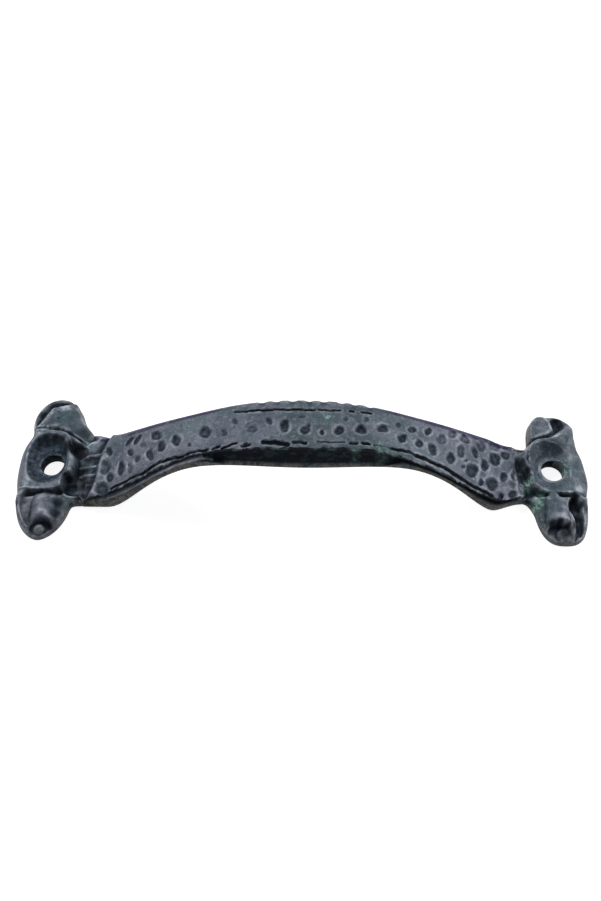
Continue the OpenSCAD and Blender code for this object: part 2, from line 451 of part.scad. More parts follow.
// places of the vertices in that list
wall_at = (rows + 1) * nl;
back_at = wall_at + 2 * (rows + 1) * nw;
foot_at = [back_at + (rows + 1) * nb, back_at + (rows + 1) * nb + len(foot_pts[0])];
function top_i(i, j) = i * nl + j;
function wall_i(s, i, k) =
    k == 0 ? top_i(i, s < 0 ? 0 : nl - 1) : wall_at + ((s < 0 ? 0 : rows + 1) + i) * nw + k - 1;
function back_i(i, k) =
    k == 0 ? wall_i(-1, i, nw) : k == nb + 1 ? wall_i(1, i, nw) : back_at + i * nb + k - 1;
function ring_i(f, k, j) =
    k < nr - 1 ? foot_at[f] + k * ns + j
    : j < nl ? top_i(f == 0 ? 0 : rows, j) : foot_at[f] + (nr - 1) * ns + j - nl;
function side_i(f, j, k) =
    let (i = f == 0 ? 0 : rows)
    j == 0 ? wall_i(-1, i, k) : j == nl - 1 ? wall_i(1, i, k)
    : k == 0 ? ring_i(f, nr - 1, j) : foot_at[f] + nr * ns - nl + (j - nl) * nw + k - 1;
function centre_i(f, low) = foot_at[f] + len(foot_pts[f]) - 2 + low;

// triangles, clockwise seen from outside
function quad(a, b, c, d, turned) = turned ? [[a, d, b], [b, d, c]] : [[a, c, b], [a, d, c]];
bar_faces = [for (i = [0 : rows - 1]) each [
    for (j = [0 : nl - 2]) each
        quad(top_i(i, j), top_i(i + 1, j), top_i(i + 1, j + 1), top_i(i, j + 1), (i + j) % 2 == 0),
    for (k = [0 : nw - 1]) each
        quad(wall_i(1, i, k), wall_i(1, i + 1, k), wall_i(1, i + 1, k + 1), wall_i(1, i, k + 1), false),
    for (k = [0 : nw - 1]) each
        quad(wall_i(-1, i, k + 1), wall_i(-1, i + 1, k + 1), wall_i(-1, i + 1, k), wall_i(-1, i, k), false),
    for (k = [0 : nb]) each
        quad(back_i(i, k), back_i(i, k + 1), back_i(i + 1, k + 1), back_i(i + 1, k), false)]];
rim_order = concat([for (j = [nl - 1 : ns - 1]) j], [0]);
function face(f, t) = f == 0 ? [t[0], t[2], t[1]] : t;
function back_ring(f) = concat([for (j = rim_order) side_i(f, j, nw)],
    [for (k = [1 : nb]) back_i(f == 0 ? 0 : rows, k)]);
function foot_faces(f) = [
    for (j = [0 : ns - 1]) let (n = (j + 1) % ns) each [
        face(f, [centre_i(f, 0), ring_i(f, 0, j), ring_i(f, 0, n)]),
        for (k = [0 : nr - 2])
            let (a = ring_i(f, k, j), b = ring_i(f, k + 1, j), c = ring_i(f, k + 1, n), d = ring_i(f, k, n))
            each (k + j) % 2 == 1 ? [face(f, [a, b, c]), face(f, [a, c, d])]
                : [face(f, [a, b, d]), face(f, [b, c, d])]],
    for (m = [0 : len(rim_order) - 2], k = [0 : nw - 1])
        let (a = rim_order[m], b = rim_order[m + 1])
        each [face(f, [side_i(f, a, k), side_i(f, a, k + 1), side_i(f, b, k + 1)]),
              face(f, [side_i(f, a, k), side_i(f, b, k + 1), side_i(f, b, k)])],
    let (ring = back_ring(f)) for (m = [0 : len(ring) - 1])
        face(f, [centre_i(f, 1), ring[(m + 1) % len(ring)], ring[m]])];
skin_faces = concat(bar_faces, foot_faces(0), foot_faces(1));

module pull() {
    color("DimGray") difference() {
        translate([0, -hole_shift, 0])
            polyhedron(points = skin_pts, faces = skin_faces, convexity = 6);
        for (s = [-1, 1])
            translate([s * hole_x, 0, -1]) cylinder(h = rim_height + 2, d = hole_d, $fn = 48);
    }
}

pull();
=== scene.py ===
# Cast drawer pull: the hammered bar and its two scrolled feet, dressed as old blackened brass.
# Millimetres in the functions of the skin, metres in every Blender object.
# On the bar, x runs along it and v across, from -1 at the near border to 1 at the far one.
# On a foot, u runs outwards from the screw hole and v across. Pairs are left foot, right foot.
import math

import bpy
import numpy as np
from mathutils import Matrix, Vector

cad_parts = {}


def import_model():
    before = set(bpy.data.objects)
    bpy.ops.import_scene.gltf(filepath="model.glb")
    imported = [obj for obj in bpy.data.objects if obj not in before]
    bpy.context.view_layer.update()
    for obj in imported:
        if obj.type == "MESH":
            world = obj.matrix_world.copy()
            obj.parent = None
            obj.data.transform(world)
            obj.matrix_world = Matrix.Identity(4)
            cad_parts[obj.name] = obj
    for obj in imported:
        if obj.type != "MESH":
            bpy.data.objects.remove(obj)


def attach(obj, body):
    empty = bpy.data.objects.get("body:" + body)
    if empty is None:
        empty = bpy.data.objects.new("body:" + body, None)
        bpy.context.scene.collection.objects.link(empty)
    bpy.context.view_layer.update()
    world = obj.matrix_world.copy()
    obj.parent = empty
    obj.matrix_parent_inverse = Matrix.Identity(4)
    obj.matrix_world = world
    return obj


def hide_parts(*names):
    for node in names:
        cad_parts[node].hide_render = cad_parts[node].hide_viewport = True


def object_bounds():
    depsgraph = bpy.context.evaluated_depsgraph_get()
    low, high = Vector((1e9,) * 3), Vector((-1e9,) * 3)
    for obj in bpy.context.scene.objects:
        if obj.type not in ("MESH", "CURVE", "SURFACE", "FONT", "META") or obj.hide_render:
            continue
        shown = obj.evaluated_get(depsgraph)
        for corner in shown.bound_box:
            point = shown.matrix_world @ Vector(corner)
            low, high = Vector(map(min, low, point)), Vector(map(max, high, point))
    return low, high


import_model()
cad_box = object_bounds()
MM = 1000

# screw holes
HOLE_SPACING = 96.0
HOLE_D = 4.5
HOLE_SHIFT = 0.45
HOLE_X = HOLE_SPACING / 2
BORE_R = HOLE_D / 2

# heights of the bar, of the ends of its hammered panel and of the finger gap
BAR_HEIGHT = 18.0
BAR_THICK = 5.4
PANEL_END = 2.7
GAP_HEIGHT = BAR_HEIGHT - BAR_THICK
RISE_X = HOLE_X - 8
RISE_POWER, RISE_FLARE = 2.6, 1.68
GAP_X = HOLE_X - 11.2
GAP_POWER, GAP_FLARE = 5, 2

# widths of the bar and where they lie
MID_WIDTH = 11.1
WAIST_WIDTH = 10.0
PANEL_WIDTH = 13.9
WAIST_X = 18
PANEL_RUN = 20
NECK_IN = 6.5
NECK_X = HOLE_X - NECK_IN
NECK_RUN = 6.5
# how far the near border stands out, on the left and on the right
NEAR_OUT = (-0.6, 0.35)

# section of the bar
CROWN = 0.2
FAR_BEVEL = 0.4
NEAR_BEVEL = 0.12
BEVEL_FROM, BEVEL_RUN, BEVEL_POWER = 0.74, 0.26, 1.3
BELLY = 0.9
BELLY_POWER = 0.8
THINNEST = 0.3
# walls: lip at the foot, recess above it, and their places as shares of the wall's height
WALL_LIP = 0.3
WALL_RECESS = 0.5
RECESS_FROM = 0.08
LIP_FROM_MIDDLE, LIP_FROM_SLOPE = 0.86, 0.15
LIP_RUN = 0.14
LIP_MARKS = (0.045, 0.09, 0.13)
LIP_ROWS = (0.35, 0.7, 1)
# where the lip climbs from the low wall of the middle, and where the walls run into the feet
LIP_CLIMB_X, LIP_CLIMB = 13.5, 5
WALL_FADE = 4.5

# marks left by the tools
MARK_DEPTH = 0.5
MARK_SIZE = 1.12
MARK_STEEP = 1.5
WOBBLE = 0.08
CHISEL_DEPTH = 0.5
# waves of the chisel strokes: size, degrees for each millimetre, start
STROKE_WAVES = ((0.07, 95, 0), (0.04, 240, 40))
SCALLOP_DEPTH = 0.35
SCALLOP_HALF = 0.85
SCALLOP_FROM, SCALLOP_RUN = 0.78, 0.22

# ends of the hammered panel: in from the hole, slant, and length over which the foot takes over
PANEL_STOP = (8.7, 7.1)
PANEL_SLANT = (-1.5, 0.2)
PANEL_FADE = 0.8
# wave of the left end: size, degrees over the half width, start
STOP_WAVE = (0.35, 200, -80)
# how far a foot's form may stand above the panel there
FOOT_ABOVE = 0.4

# heights on the feet
MOUTH_HEIGHT = 2.4
RIM_HEIGHT = 4.1
PLATE_HEIGHT = 3.4
VALLEY_HEIGHT = 1.2
PANEL_FOOT = (1.7, 2.2)
NEAR_FLOOR = (2.3, 2.9)
NEAR_END = 1.2
NEAR_DROP = (1.2, 0.8)
BACK_HEIGHT = 1.55
NEAR_LEAST = 1.0
NEAR_FALL = 0.2
NEAR_LIP, NEAR_LIP_CLIMB = 1.25, 1.6
NEAR_LIP_IN, NEAR_LIP_HALF = 0.7, 0.75
FAR_LIP = (2.1, 2.0)
FAR_LIP_FLAT, FAR_LIP_RUN = 0.3, 1.9
# flat tops of the far scrolls: lowest and highest on the left, height and curve on the right
LEFT_TOP = (2.3, 3.6)
LEFT_TOP_FALL = 0.06
RIGHT_TOP, RIGHT_TOP_CURVE = 2.9, 0.02
EDGE_HEIGHT = 1.1
LEAST_HEIGHT = 0.7
STRIP_FLOOR = 0.8
CURL_FLOOR = 1.0
# slopes and rounds on the feet
PLATE_SOFT = 0.5
FAR_SOFT = (2.6, 3.6)
FACET_SOFT = 0.7
HOLLOW_SOFT = 0.45
CUP_SLOPE = (1.4, 1.0)
CUP_STEP = (0.25, 0.0)
EDGE_ROLL = 0.45
END_ROLL = 2.4
ROLL_END = ((7, 2.5), (4.5, 6))
BEAD_BEND, RIB_BEND, CURL_BEND = 0.6, 1.0, 0.55
TONGUE_BEND = (1.0, 0.7)
FOOT_FLARE = 0.25
BORE_CHAMFER = 0.12
MOUTH_ROUND = 0.06
MOUTH_DROP = 0.05

# closed curves in plan: centre out and across, half lengths, squareness
FAR_SCROLL = ((0.75, 10.55, 4.8, 5.9, 2), (0.8, 5, 4.5, 8.5, 3.3))
NEAR_SCROLL = ((1.05, -7.45, 4.85, 6.75, 1.75), (0.8, -5.5, 4.85, 8.75, 2.7))
BOSS = ((1.7, 0, 4.7, 9, 2.1), (-0.1, -1.3, 5.95, 6, 2))
SHOULDER = ((-3.2, 5.7, 4.55, 6.05, 1.25), (-2.5, -2.1, 3, 5.9, 2))
NECK = ((-6, -0.15, 12, 6.85, 4), (-6, 0.3, 12, 5.7, 4))
PLATE = ((2.2, 1.05, 5.3, 6.25, 5), (1.7, 1.05, 6.2, 5.85, 4))
CUP = ((1.1, 1.3, 3.9, 5.6, 2.5), (-1.2, 0.75, 4.2, 5.55, 2.2))
RIGHT_FACET = (-2.6, 9.6, 3.6, 3.5, 3.2)
FLOOR_SHARE = (0.6, 0.5)
# how sharply the curves of a foot run together
BLEND = 12

# rounded strips laid on the feet: each is a run of points, out, across, half width, height
BEADS = (
    (
        # band behind the cup
        ((6.0, 3.4, 1.0, 2.9), (4.6, 5.9, 1.0, 3.5), (3.0, 7.3, 1.0, 3.9), (0.9, 7.35, 1.0, 4.1),
         (-1.7, 6.6, 1.0, 4.1), (-3.4, 5.9, 0.9, 3.4), (-4.8, 5.4, 0.6, 2.3)),
        # collar beside the hole
        ((-2.2, 5.0, 0.9, 3.9), (-2.8, 3.4, 1.0, 3.7), (-3.4, 1.2, 1.1, 3.8), (-3.5, -0.2, 1.1, 3.8),
         (-3.3, -1.5, 1.0, 3.7), (-2.6, -2.8, 0.9, 3.5)),
        # near edge of the plate, where it turns down along the outline
        ((3.4, -5.0, 0.6, 3.4), (4.7, -5.5, 0.6, 3.2), (5.5, -6.5, 0.6, 2.9), (5.7, -7.6, 0.5, 2.7)),
    ),
    (
        # band behind the cup
        ((-5.4, 2.6, 0.8, 3.8), (-4.9, 4.1, 0.9, 3.9), (-3.6, 5.5, 1.0, 4.0), (-1.4, 6.3, 1.1, 4.1),
         (0.6, 7.0, 1.1, 4.1), (2.2, 7.9, 1.3, 4.0)),
        # outer side of the far scroll
        ((1.6, 6.4, 1.5, 4.15), (3.0, 7.4, 2.6, 4.15), (4.3, 8.8, 2.3, 4.05), (4.7, 11, 1.4, 2.8),
         (4.2, 12.4, 1.0, 2.2)),
        # rim of the cup on the bar side
        ((-4.6, 4.2, 0.7, 3.8), (-5.6, 2.6, 0.9, 3.8), (-4.9, 1.4, 0.8, 3.8), (-4.2, 0.0, 0.8, 3.6),
         (-3.6, -1.4, 0.8, 3.5), (-3.2, -2.8, 0.8, 3.4)),
        # near edge of the plate, where it turns down along the outline
        ((2.9, -4.75, 0.5, 3.4), (4.3, -5.4, 0.5, 3.3), (4.95, -6.3, 0.5, 3.1),
         (5.15, -7.5, 0.5, 3.0)),
        # ridge from the panel to the cup
        ((-9.4, 4.4, 1.5, 3.0), (-7.2, 3.9, 1.5, 3.1), (-5.6, 3.6, 1.2, 3.4)),
    ),
)
# near tongues, in the same terms
TONGUES = (
    ((0.5, -5.4, 3.3, 3.2), (0.5, -7.5, 3.1, 3.4), (0.4, -10, 2.8, 3.5), (0.2, -11.6, 2.5, 3.2),
     (-0.1, -13, 2.0, 2.0)),
    ((-0.9, -4.3, 1.2, 3.4), (-0.6, -6, 2.5, 3.4), (-0.1, -8, 2.9, 3.5), (0.05, -10, 2.9, 3.5),
     (0.1, -11, 2.8, 3.2)),
)
# ribs across the valley, in the same terms
RIBS = (
    (((-9.0, 3.2, 0.9, 2.2), (-5.4, 2.8, 0.8, 1.7)), ((-8.9, 0.7, 0.8, 2.1), (-5.0, 0.3, 0.7, 1.6)),
     ((-8.8, -1.2, 0.8, 2.1), (-5.2, -1.6, 0.7, 1.7)),
     ((-8.4, -3.6, 0.9, 2.0), (-6.2, -3.4, 0.8, 1.6))),
    (((-8.2, -2.2, 1.0, 2.4), (-5.8, -2.4, 0.8, 1.9)),),
)
# balls and rims set in the hollows, in the same terms
CURLS = (
    (((0.73, -12.75, 1.0, 2.1), (0.78, -12.85, 1.0, 2.1)),),
    (((0.8, -12.8, 1.7, 1.9), (0.9, -12.9, 1.7, 1.9)),
     ((1.3, -8.4, 0.4, 3.1), (1.8, -9.6, 0.65, 3.3), (2.05, -10.8, 0.75, 3.1),
      (2.05, -12.0, 0.7, 2.6), (1.8, -13.2, 0.5, 1.9))),
)
# grooves: points out, across, half width, depth
GROOVES = (
    (
        ((5.0, 8.4, 0.5, 0.5), (2.6, 8.7, 0.55, 0.6), (0.5, 8.5, 0.55, 0.7), (-1.5, 7.9, 0.5, 0.6),
         (-3.6, 6.9, 0.45, 0.5), (-5.0, 6.1, 0.4, 0.4)),
        ((4.2, -6.1, 0.4, 0.4), (2.5, -5.75, 0.5, 0.6), (-0.5, -5.7, 0.5, 0.6),
         (-2.2, -5.5, 0.5, 0.5)),
    ),
    (
        ((-5.3, 6.0, 0.4, 0.4), (-3.8, 6.9, 0.45, 0.5), (-1.6, 7.7, 0.5, 0.6), (0.2, 8.4, 0.45, 0.5),
         (1.9, 9.5, 0.4, 0.5), (2.9, 10.6, 0.4, 0.4)),
        ((-3.6, -5.0, 0.4, 0.6), (-2.0, -5.05, 0.35, 0.6)),
        ((0.4, -5.1, 0.35, 0.6), (2.2, -5.25, 0.35, 0.7)),
    ),
)
# hollows sunk in the feet: centre out and across, half lengths, squareness, floor height
HOLLOWS = (
    ((0.4, -12.95, 1.95, 1.75, 2, 1.0), (-4.5, 3.9, 1.4, 1.25, 2.2, 0.9),
     (-4.4, -3.7, 1.8, 1.9, 2.4, 1.0)),
    ((3.0, -9.3, 1.1, 3.6, 2.8, 0.8), (0.1, -12.7, 2.4, 1.7, 2.8, 0.9),
     (2.3, 11.3, 1.0, 1.5, 2.4, 1.2)),
)
# pits where the valley meets the cup: out, across, half length, half width, depth
PITS = (
    ((-4.1, 4.0, 1.5, 1.3, 0.8), (-5.1, -1.0, 1.4, 2.2, 0.5), (-4.2, -4.4, 1.6, 1.8, 0.5)),
    ((-6.5, 1.3, 1.6, 1.4, 0.8), (-5.9, -1.2, 1.5, 2.2, 0.6), (-5.0, -4.6, 1.4, 1.4, 0.4)),
)

# hammer marks: along, across, half length, half width, turn in degrees, share of the depth
MARKS = (
    (-37.4, 3.1, 0.66, 1.1, 30, 0.7), (-33.2, 3.9, 0.61, 1.2, -45, 0.6),
    (-31.5, 3.6, 0.72, 1.2, -25, 0.75), (-30.1, 1.8, 0.54, 0.97, 45, 0.35),
    (-27.5, 2.8, 0.9, 1.4, 45, 0.8), (-32.6, 1.2, 0.57, 1.1, 25, 0.7),
    (-28.3, -1.2, 0.74, 1.4, 25, 0.9),
    (-26.1, -0.2, 0.85, 1.3, 10, 0.9), (-37.9, -0.4, 1.2, 1.9, 25, 0.7),
    (-36.4, -2.9, 0.76, 1.2, 25, 0.7), (-34.2, -1.7, 0.76, 1.7, 5, 0.8),
    (-32.3, -2.4, 0.59, 1.3, 15, 0.4), (-30.9, -1.0, 0.56, 1, 25, 0.5),
    (-37.8, -5.0, 1.7, 1.2, -45, 1),
    (-23.2, 0.0, 0.8, 1.4, 25, 0.9), (-20.4, -2.0, 0.35, 0.52, 40, 0.5),
    (-17.7, 0.0, 1, 1.5, 30, 1),
    (-14.1, -1.0, 0.61, 0.89, 20, 0.35), (-12.3, 1.2, 0.59, 0.73, 40, 0.35),
    (-9.1, -0.9, 1.1, 0.76, 10, 0.4), (-6.1, 0.6, 0.7, 0.78, 25, 0.5),
    (-3.4, -0.4, 0.88, 1.5, 0, 1),
    (0.3, -1.3, 0.88, 0.95, 0, 0.8), (0.9, -0.4, 0.44, 0.53, 0, 0.5),
    (-0.3, 1.5, 0.71, 0.44, 0, 0.3),
    (3.2, -1.8, 0.48, 0.58, -5, 0.7), (-10.1, -4.0, 0.54, 0.4, -15, 0.7),
    (6.3, -1.1, 1.1, 0.77, 45, 1),
    (10.2, -0.5, 1.1, 0.94, 25, 1), (14.1, 0.4, 1.2, 0.86, 15, 1), (7.5, 1.4, 0.73, 0.54, 15, 0.3),
    (11.2, 1.8, 0.67, 0.53, 30, 0.4), (17.1, 1.8, 0.48, 0.67, -40, 0.6),
    (19.7, 1.7, 1, 0.67, 45, 0.6),
    (17.7, -0.8, 0.83, 1.1, -40, 1), (20.9, -0.9, 0.67, 1, -35, 0.8),
    (22.9, 2.5, 0.62, 1.1, -25, 0.7),
    (23.5, -1.2, 0.9, 1.3, -5, 0.95), (25.6, 1.9, 0.87, 1.5, -30, 0.5),
    (27.9, 4.1, 0.8, 1.3, -40, 0.6),
    (27.1, -1.6, 0.81, 1.4, -20, 0.9), (29.4, 0.9, 0.78, 1.7, -15, 0.7),
    (30.6, 4.3, 1.3, 1, 45, 0.7),
    (32.5, 2.1, 0.7, 1.3, -5, 0.7), (29.6, -2.3, 0.65, 0.36, 40, 0.5),
    (31.4, -2.4, 1.1, 1.9, -35, 1),
    (34.4, 0.0, 0.79, 1.4, -15, 1), (34.1, 4.2, 1.0, 1.5, -20, 0.7), (37.0, 5.3, 1.5, 1.1, 40, 0.5),
    (36.8, 2.2, 1.15, 1.6, -30, 1), (35.5, -3.7, 1.1, 1.7, -25, 1),
    (33.1, -4.2, 0.49, 0.95, -20, 0.7),
    (38.2, -1.4, 0.76, 1.2, -25, 0.6), (39.1, 3.6, 1.1, 0.9, 30, 0.6),
    (40.7, -0.7, 0.94, 1.4, -15, 0.8), (39.6, -4.9, 0.99, 0.8, 35, 0.8),
    (37.1, -5.8, 0.48, 0.7, -40, 0.9), (30.3, -0.7, 0.55, 0.22, 45, 0.5),
)
# raised ring round one mark: along, across, half length, half width
RING_MARK = (-8.6, -1.2, 2.5, 2.2)
RING_HEIGHT = 0.1
RING_WIDTH = 0.3
# it fades out towards the near border, along a slant
RING_SLANT, RING_FADE = 0.3, 1.5
# chisel strokes: start and end along and across the bar, half width, share of the depth
STROKES = (
    (-12.4, 3.2, -9.6, 3.15, 0.3, 0.6), (-9.4, 3.15, 2.0, 3.1, 0.3, 0.8),
    (2.6, 3.1, 6.6, 3.15, 0.28, 0.6),
    (8.3, 3.25, 8.9, 3.25, 0.35, 0.7), (10.4, 3.2, 12.2, 3.35, 0.3, 0.7),
    (-35.8, -5.5, -32.2, -4.8, 0.4, 0.8), (-32.4, -4.8, -29.2, -4.5, 0.4, 0.8),
    (-29.4, -4.6, -26.0, -3.5, 0.5, 1), (-26.2, -3.5, -21.6, -3.9, 0.5, 1),
    (-21.0, -3.7, -19.2, -3.7, 0.4, 0.8), (-18.8, -3.65, -17.0, -3.9, 0.35, 0.8),
    (-16.0, -4.0, -14.8, -3.6, 0.35, 0.7), (-14.4, -4.1, -11.8, -3.5, 0.35, 0.8),
    (-10.8, -4.2, -9.4, -4.1, 0.4, 0.7), (-7.0, -3.6, -2.8, -4.2, 0.65, 1),
    (-1.8, -3.85, 0.4, -3.95, 0.45, 0.8), (2.4, -3.75, 7.2, -3.6, 0.25, 0.5),
    (8.2, -3.6, 9.4, -3.55, 0.4, 0.8), (10.3, -3.45, 11.6, -3.4, 0.4, 0.8),
    (12.4, -3.4, 16.0, -3.55, 0.3, 0.4), (15.6, -3.5, 19.0, -3.4, 0.45, 0.9),
    (18.8, -3.2, 20.4, -3.7, 0.4, 0.7), (20.2, -3.7, 25.8, -4.3, 0.55, 1),
    (25.6, -4.25, 30.2, -5.5, 0.6, 1), (30.0, -5.5, 35.2, -6.2, 0.55, 1),
)
# notches along the far border
SCALLOPS = (-7.5, -4.9, -2.0, 1.0, 3.6, 6.8, 9.2, 11.9)

# mesh: lines across half the bar, each split in three, and rows and rings of vertices
HALF_LINES = (0.1, 0.21, 0.32, 0.43, 0.54, 0.64, 0.69, 0.74, 0.82, 0.91, 1)
LINES = tuple(-a for a in reversed(HALF_LINES)) + (0,) + HALF_LINES
LINE_SPLIT = 3
ROWS = 380
LEVELS = 10
# corners of a foot's outline, in degrees round the hole, and the vertices from each to the next
CORNERS = (118, 62, -62, -118)
STEPS = (12, 66, 56, 66, 12)
# rings on the cup, on the plate, on its drop and out to the outline
CUP_STEPS, PLATE_STEPS, DROP_STEPS, OUT_STEPS = 16, 8, 4, 30
# least widths of the cup, of the plate outside it and of the drop outside that
CUP_LEAST, PLATE_LEAST, DROP_WIDTH = 0.6, 0.2, 0.5
CUP_ROOM, PLATE_ROOM, DROP_ROOM = 1.0, 0.8, 0.3
OUT_POWER = 1.3

TINY = 0.001
SOFT = 0.01


def unit(t):
    return np.clip(t, 0, 1)


def ease(t):
    s = unit(t)
    return s * s * (3 - 2 * s)


def mix(a, b, t):
    return a + (b - a) * t


def grown(t, start, over):
    # 0 up to the start, 1 past the length it takes, straight between
    return unit((t - start) / over)


def rise(t, start, over):
    # the same, smooth between
    return ease((t - start) / over)


def fall(t, end, over):
    # 1 well before the end, 0 past it
    return ease((end - t) / over)


def soft_max(a, b):
    return (a + b + np.sqrt((a - b) ** 2 + SOFT)) / 2


def bisect(low, high, rounds, within):
    # the last place that is still within, found by halving
    for _ in range(rounds):
        middle = (low + high) / 2
        yes = within(middle)
        low, high = np.where(yes, middle, low), np.where(yes, high, middle)
    return (low + high) / 2


def front(x):
    # height of the bar's crest
    fullness = (1 - unit(np.abs(x) / RISE_X) ** RISE_POWER) ** RISE_FLARE
    return PANEL_END + (BAR_HEIGHT - PANEL_END) * fullness


def arch(x):
    # height of the finger gap
    return GAP_HEIGHT * (1 - unit(np.abs(x) / GAP_X) ** GAP_POWER) ** GAP_FLARE


def curve(u, v, shape):
    # 1 on a closed curve, less inside it
    out, over, half_out, half_over, square = shape[:5]
    a, b = np.abs((u - out) / half_out), np.abs((v - over) / half_over)
    return (a ** square + b ** square) ** (1 / square)


def outward(u, v, shape):
    # distance outside a closed curve, along the ray from its centre
    k = np.maximum(curve(u, v, shape), TINY)
    return np.hypot(u - shape[0], v - shape[1]) * (1 - 1 / k)


def inside(u, v, f):
    # 1 on a foot's outline, less inside it
    total = 0
    for shapes in (FAR_SCROLL, NEAR_SCROLL, BOSS, SHOULDER, NECK):
        total = total + np.maximum(curve(u, v, shapes[f]), TINY) ** -BLEND
    return total ** (-1 / BLEND)


def reach(angle, test):
    # how far from the hole the test's outline lies at each angle
    nearest, farthest = np.full_like(angle, 1.5), np.full_like(angle, 22.0)
    rounds = 26
    return bisect(nearest, farthest, rounds,
                  lambda r: test(r * np.cos(angle), r * np.sin(angle)) < 1)


def neck_half(f, side):
    # half width of a foot's outline where the bar joins it
    narrowest, widest = np.array(3.0), np.array(9.0)
    rounds = 30
    return bisect(narrowest, widest, rounds,
                  lambda v: inside(np.array(-NECK_IN), side * v, f) < 1)


NECK_FAR = (neck_half(0, 1), neck_half(1, 1))
NECK_NEAR = (neck_half(0, -1), neck_half(1, -1))


def edge_gap(u, v, f):
    # distance in from a foot's outline
    step, flattest, deepest = 0.02, 0.03, 9
    g = inside(u, v, f)
    gu = (inside(u + step, v, f) - g) / step
    gv = (inside(u, v + step, f) - g) / step
    return np.clip((1 - g) / np.maximum(np.hypot(gu, gv), flattest), 0, deepest)


def widths(x, neck):
    a = np.abs(x)
    wide = np.where(x < 0, neck[0], neck[1])
    return (MID_WIDTH / 2 - (MID_WIDTH - WAIST_WIDTH) / 2 * ease(a / WAIST_X)
            + (PANEL_WIDTH - WAIST_WIDTH) / 2 * rise(a, WAIST_X, PANEL_RUN)
            + (wide - PANEL_WIDTH / 2) * ease((a - NECK_X + NECK_RUN) / NECK_RUN))


def half(x):
    return widths(x, NECK_FAR)


def near_half(x):
    a = np.abs(x)
    shift = mix(*NEAR_OUT, rise(x, -18, 30)) * rise(a, 10, 12) * fall(a, NECK_X, 5)
    return widths(x, NECK_NEAR) + shift


def across(x, v):
    return v * np.where(v < 0, near_half(x), half(x))


def along(u, v, a, b):
    # distance from the line between two points, in half widths, and the height or depth there
    du, dv = b[0] - a[0], b[1] - a[1]
    t = unit(((u - a[0]) * du + (v - a[1]) * dv) / (du * du + dv * dv))
    d = np.hypot(u - a[0] - t * du, v - a[1] - t * dv)
    return d / mix(a[2], b[2], t), mix(a[3], b[3], t)


def strip(u, v, run, low, bend):
    top = np.full(np.shape(u), float(low))
    for a, b in zip(run, run[1:]):
        d, h = along(u, v, a, b)
        top = np.maximum(top, low + (h - low) * unit(1 - d * d) ** bend)
    return top


def groove(u, v, run):
    deep = np.zeros(np.shape(u))
    for a, b in zip(run, run[1:]):
        d, h = along(u, v, a, b)
        deep = np.maximum(deep, h * unit(1 - d * d))
    return deep


def facet(u, v, f):
    # flat top of the far scroll: distance outside it, and its height
    if f == 1:
        return outward(u, v, RIGHT_FACET), RIGHT_TOP - RIGHT_TOP_CURVE * (v - 10) ** 2
    # on the left it ends in two straight edges, which meet near a corner
    corner_u, top_v, outer_v = 1.8, 13.0, 12.95
    top = (v - top_v + 0.29 * (u - corner_u)) / 1.04
    outer = 0.83 * (u - corner_u) + 0.56 * (v - outer_v)
    high = mix(*LEFT_TOP, grown(v, 8, 5)) - LEFT_TOP_FALL * np.maximum(0, -0.5 - u) ** 2
    return soft_max(top, outer), high


def lip(u, v, g, f):
    # raised edge along the outline, higher towards the outer end
    low = NEAR_LIP + NEAR_LIP_CLIMB * grown(v, -13.5, 8) * rise(u, -1, 4)
    near = low * (1 - ((g - NEAR_LIP_IN) / NEAR_LIP_HALF) ** 2)
    far = FAR_LIP[f] * (1 - (np.maximum(g - FAR_LIP_FLAT, 0) / FAR_LIP_RUN) ** 2)
    return np.where(v < 0, near * fall(v, -4.6, 1), far * rise(v, 7.5, 1.5) * rise(u, -3, 2))


def ground(u, v, f):
    # the low face outside the plate: valley, floor of the near scroll, far scroll
    valley = mix(VALLEY_HEIGHT, PANEL_FOOT[f], fall(u, -4.8, 2.6))
    floor_height = mix(NEAR_FLOOR[f], NEAR_END, unit((-5.8 - v) / 7) ** NEAR_DROP[f])
    floor_height = np.maximum(floor_height - NEAR_FALL * np.maximum(0, -1.5 - u), NEAR_LEAST)
    low = mix(valley, floor_height, fall(v, -4.2, 1.5) * rise(u, -6.5, 2.5))
    out, high = facet(u, v, f)
    back = mix(high, BACK_HEIGHT, ease(out / FACET_SOFT))
    return mix(low, back, rise(v, 6.2, 1.0) * rise(u, -8, 2.5))


def raised(base, u, v, f):
    # bands, tongues and ribs laid on the face
    for run in BEADS[f]:
        base = soft_max(base, strip(u, v, run, STRIP_FLOOR, BEAD_BEND))
    base = soft_max(base, strip(u, v, TONGUES[f], STRIP_FLOOR, TONGUE_BEND[f]))
    for run in RIBS[f]:
        base = np.maximum(base, strip(u, v, run, STRIP_FLOOR, RIB_BEND))
    return base


def carved(base, u, v, f):
    # grooves, pits and hollows cut in the face, and the balls in the hollows
    for run in GROOVES[f]:
        base = base - groove(u, v, run)
    for out, over, half_out, half_over, deep in PITS[f]:
        bowl = unit(1 - ((u - out) / half_out) ** 2 - ((v - over) / half_over) ** 2)
        base = base - deep * bowl ** 2
    for shape in HOLLOWS[f]:
        base = np.minimum(base, mix(shape[5], base, ease(outward(u, v, shape) / HOLLOW_SOFT)))
    for run in CURLS[f]:
        base = np.maximum(base, strip(u, v, run, CURL_FLOOR, CURL_BEND))
    return base


def cupped(base, plate, u, v, f):
    # dished cup round the hole, with a small step on the left one's floor
    k = curve(u, v, CUP[f])
    share = grown(k, FLOOR_SHARE[f], 1 - FLOOR_SHARE[f])
    dish = mix(ease(share), share ** CUP_SLOPE[f], rise(v, -3, 3))
    step = CUP_STEP[f] * rise(np.hypot(u, v - HOLE_SHIFT), 2.7, 0.6) * ease((v + 0.6 * u) / 2.5)
    return np.where(k < 1, np.minimum(mix(MOUTH_HEIGHT + step, plate, dish), base), base)


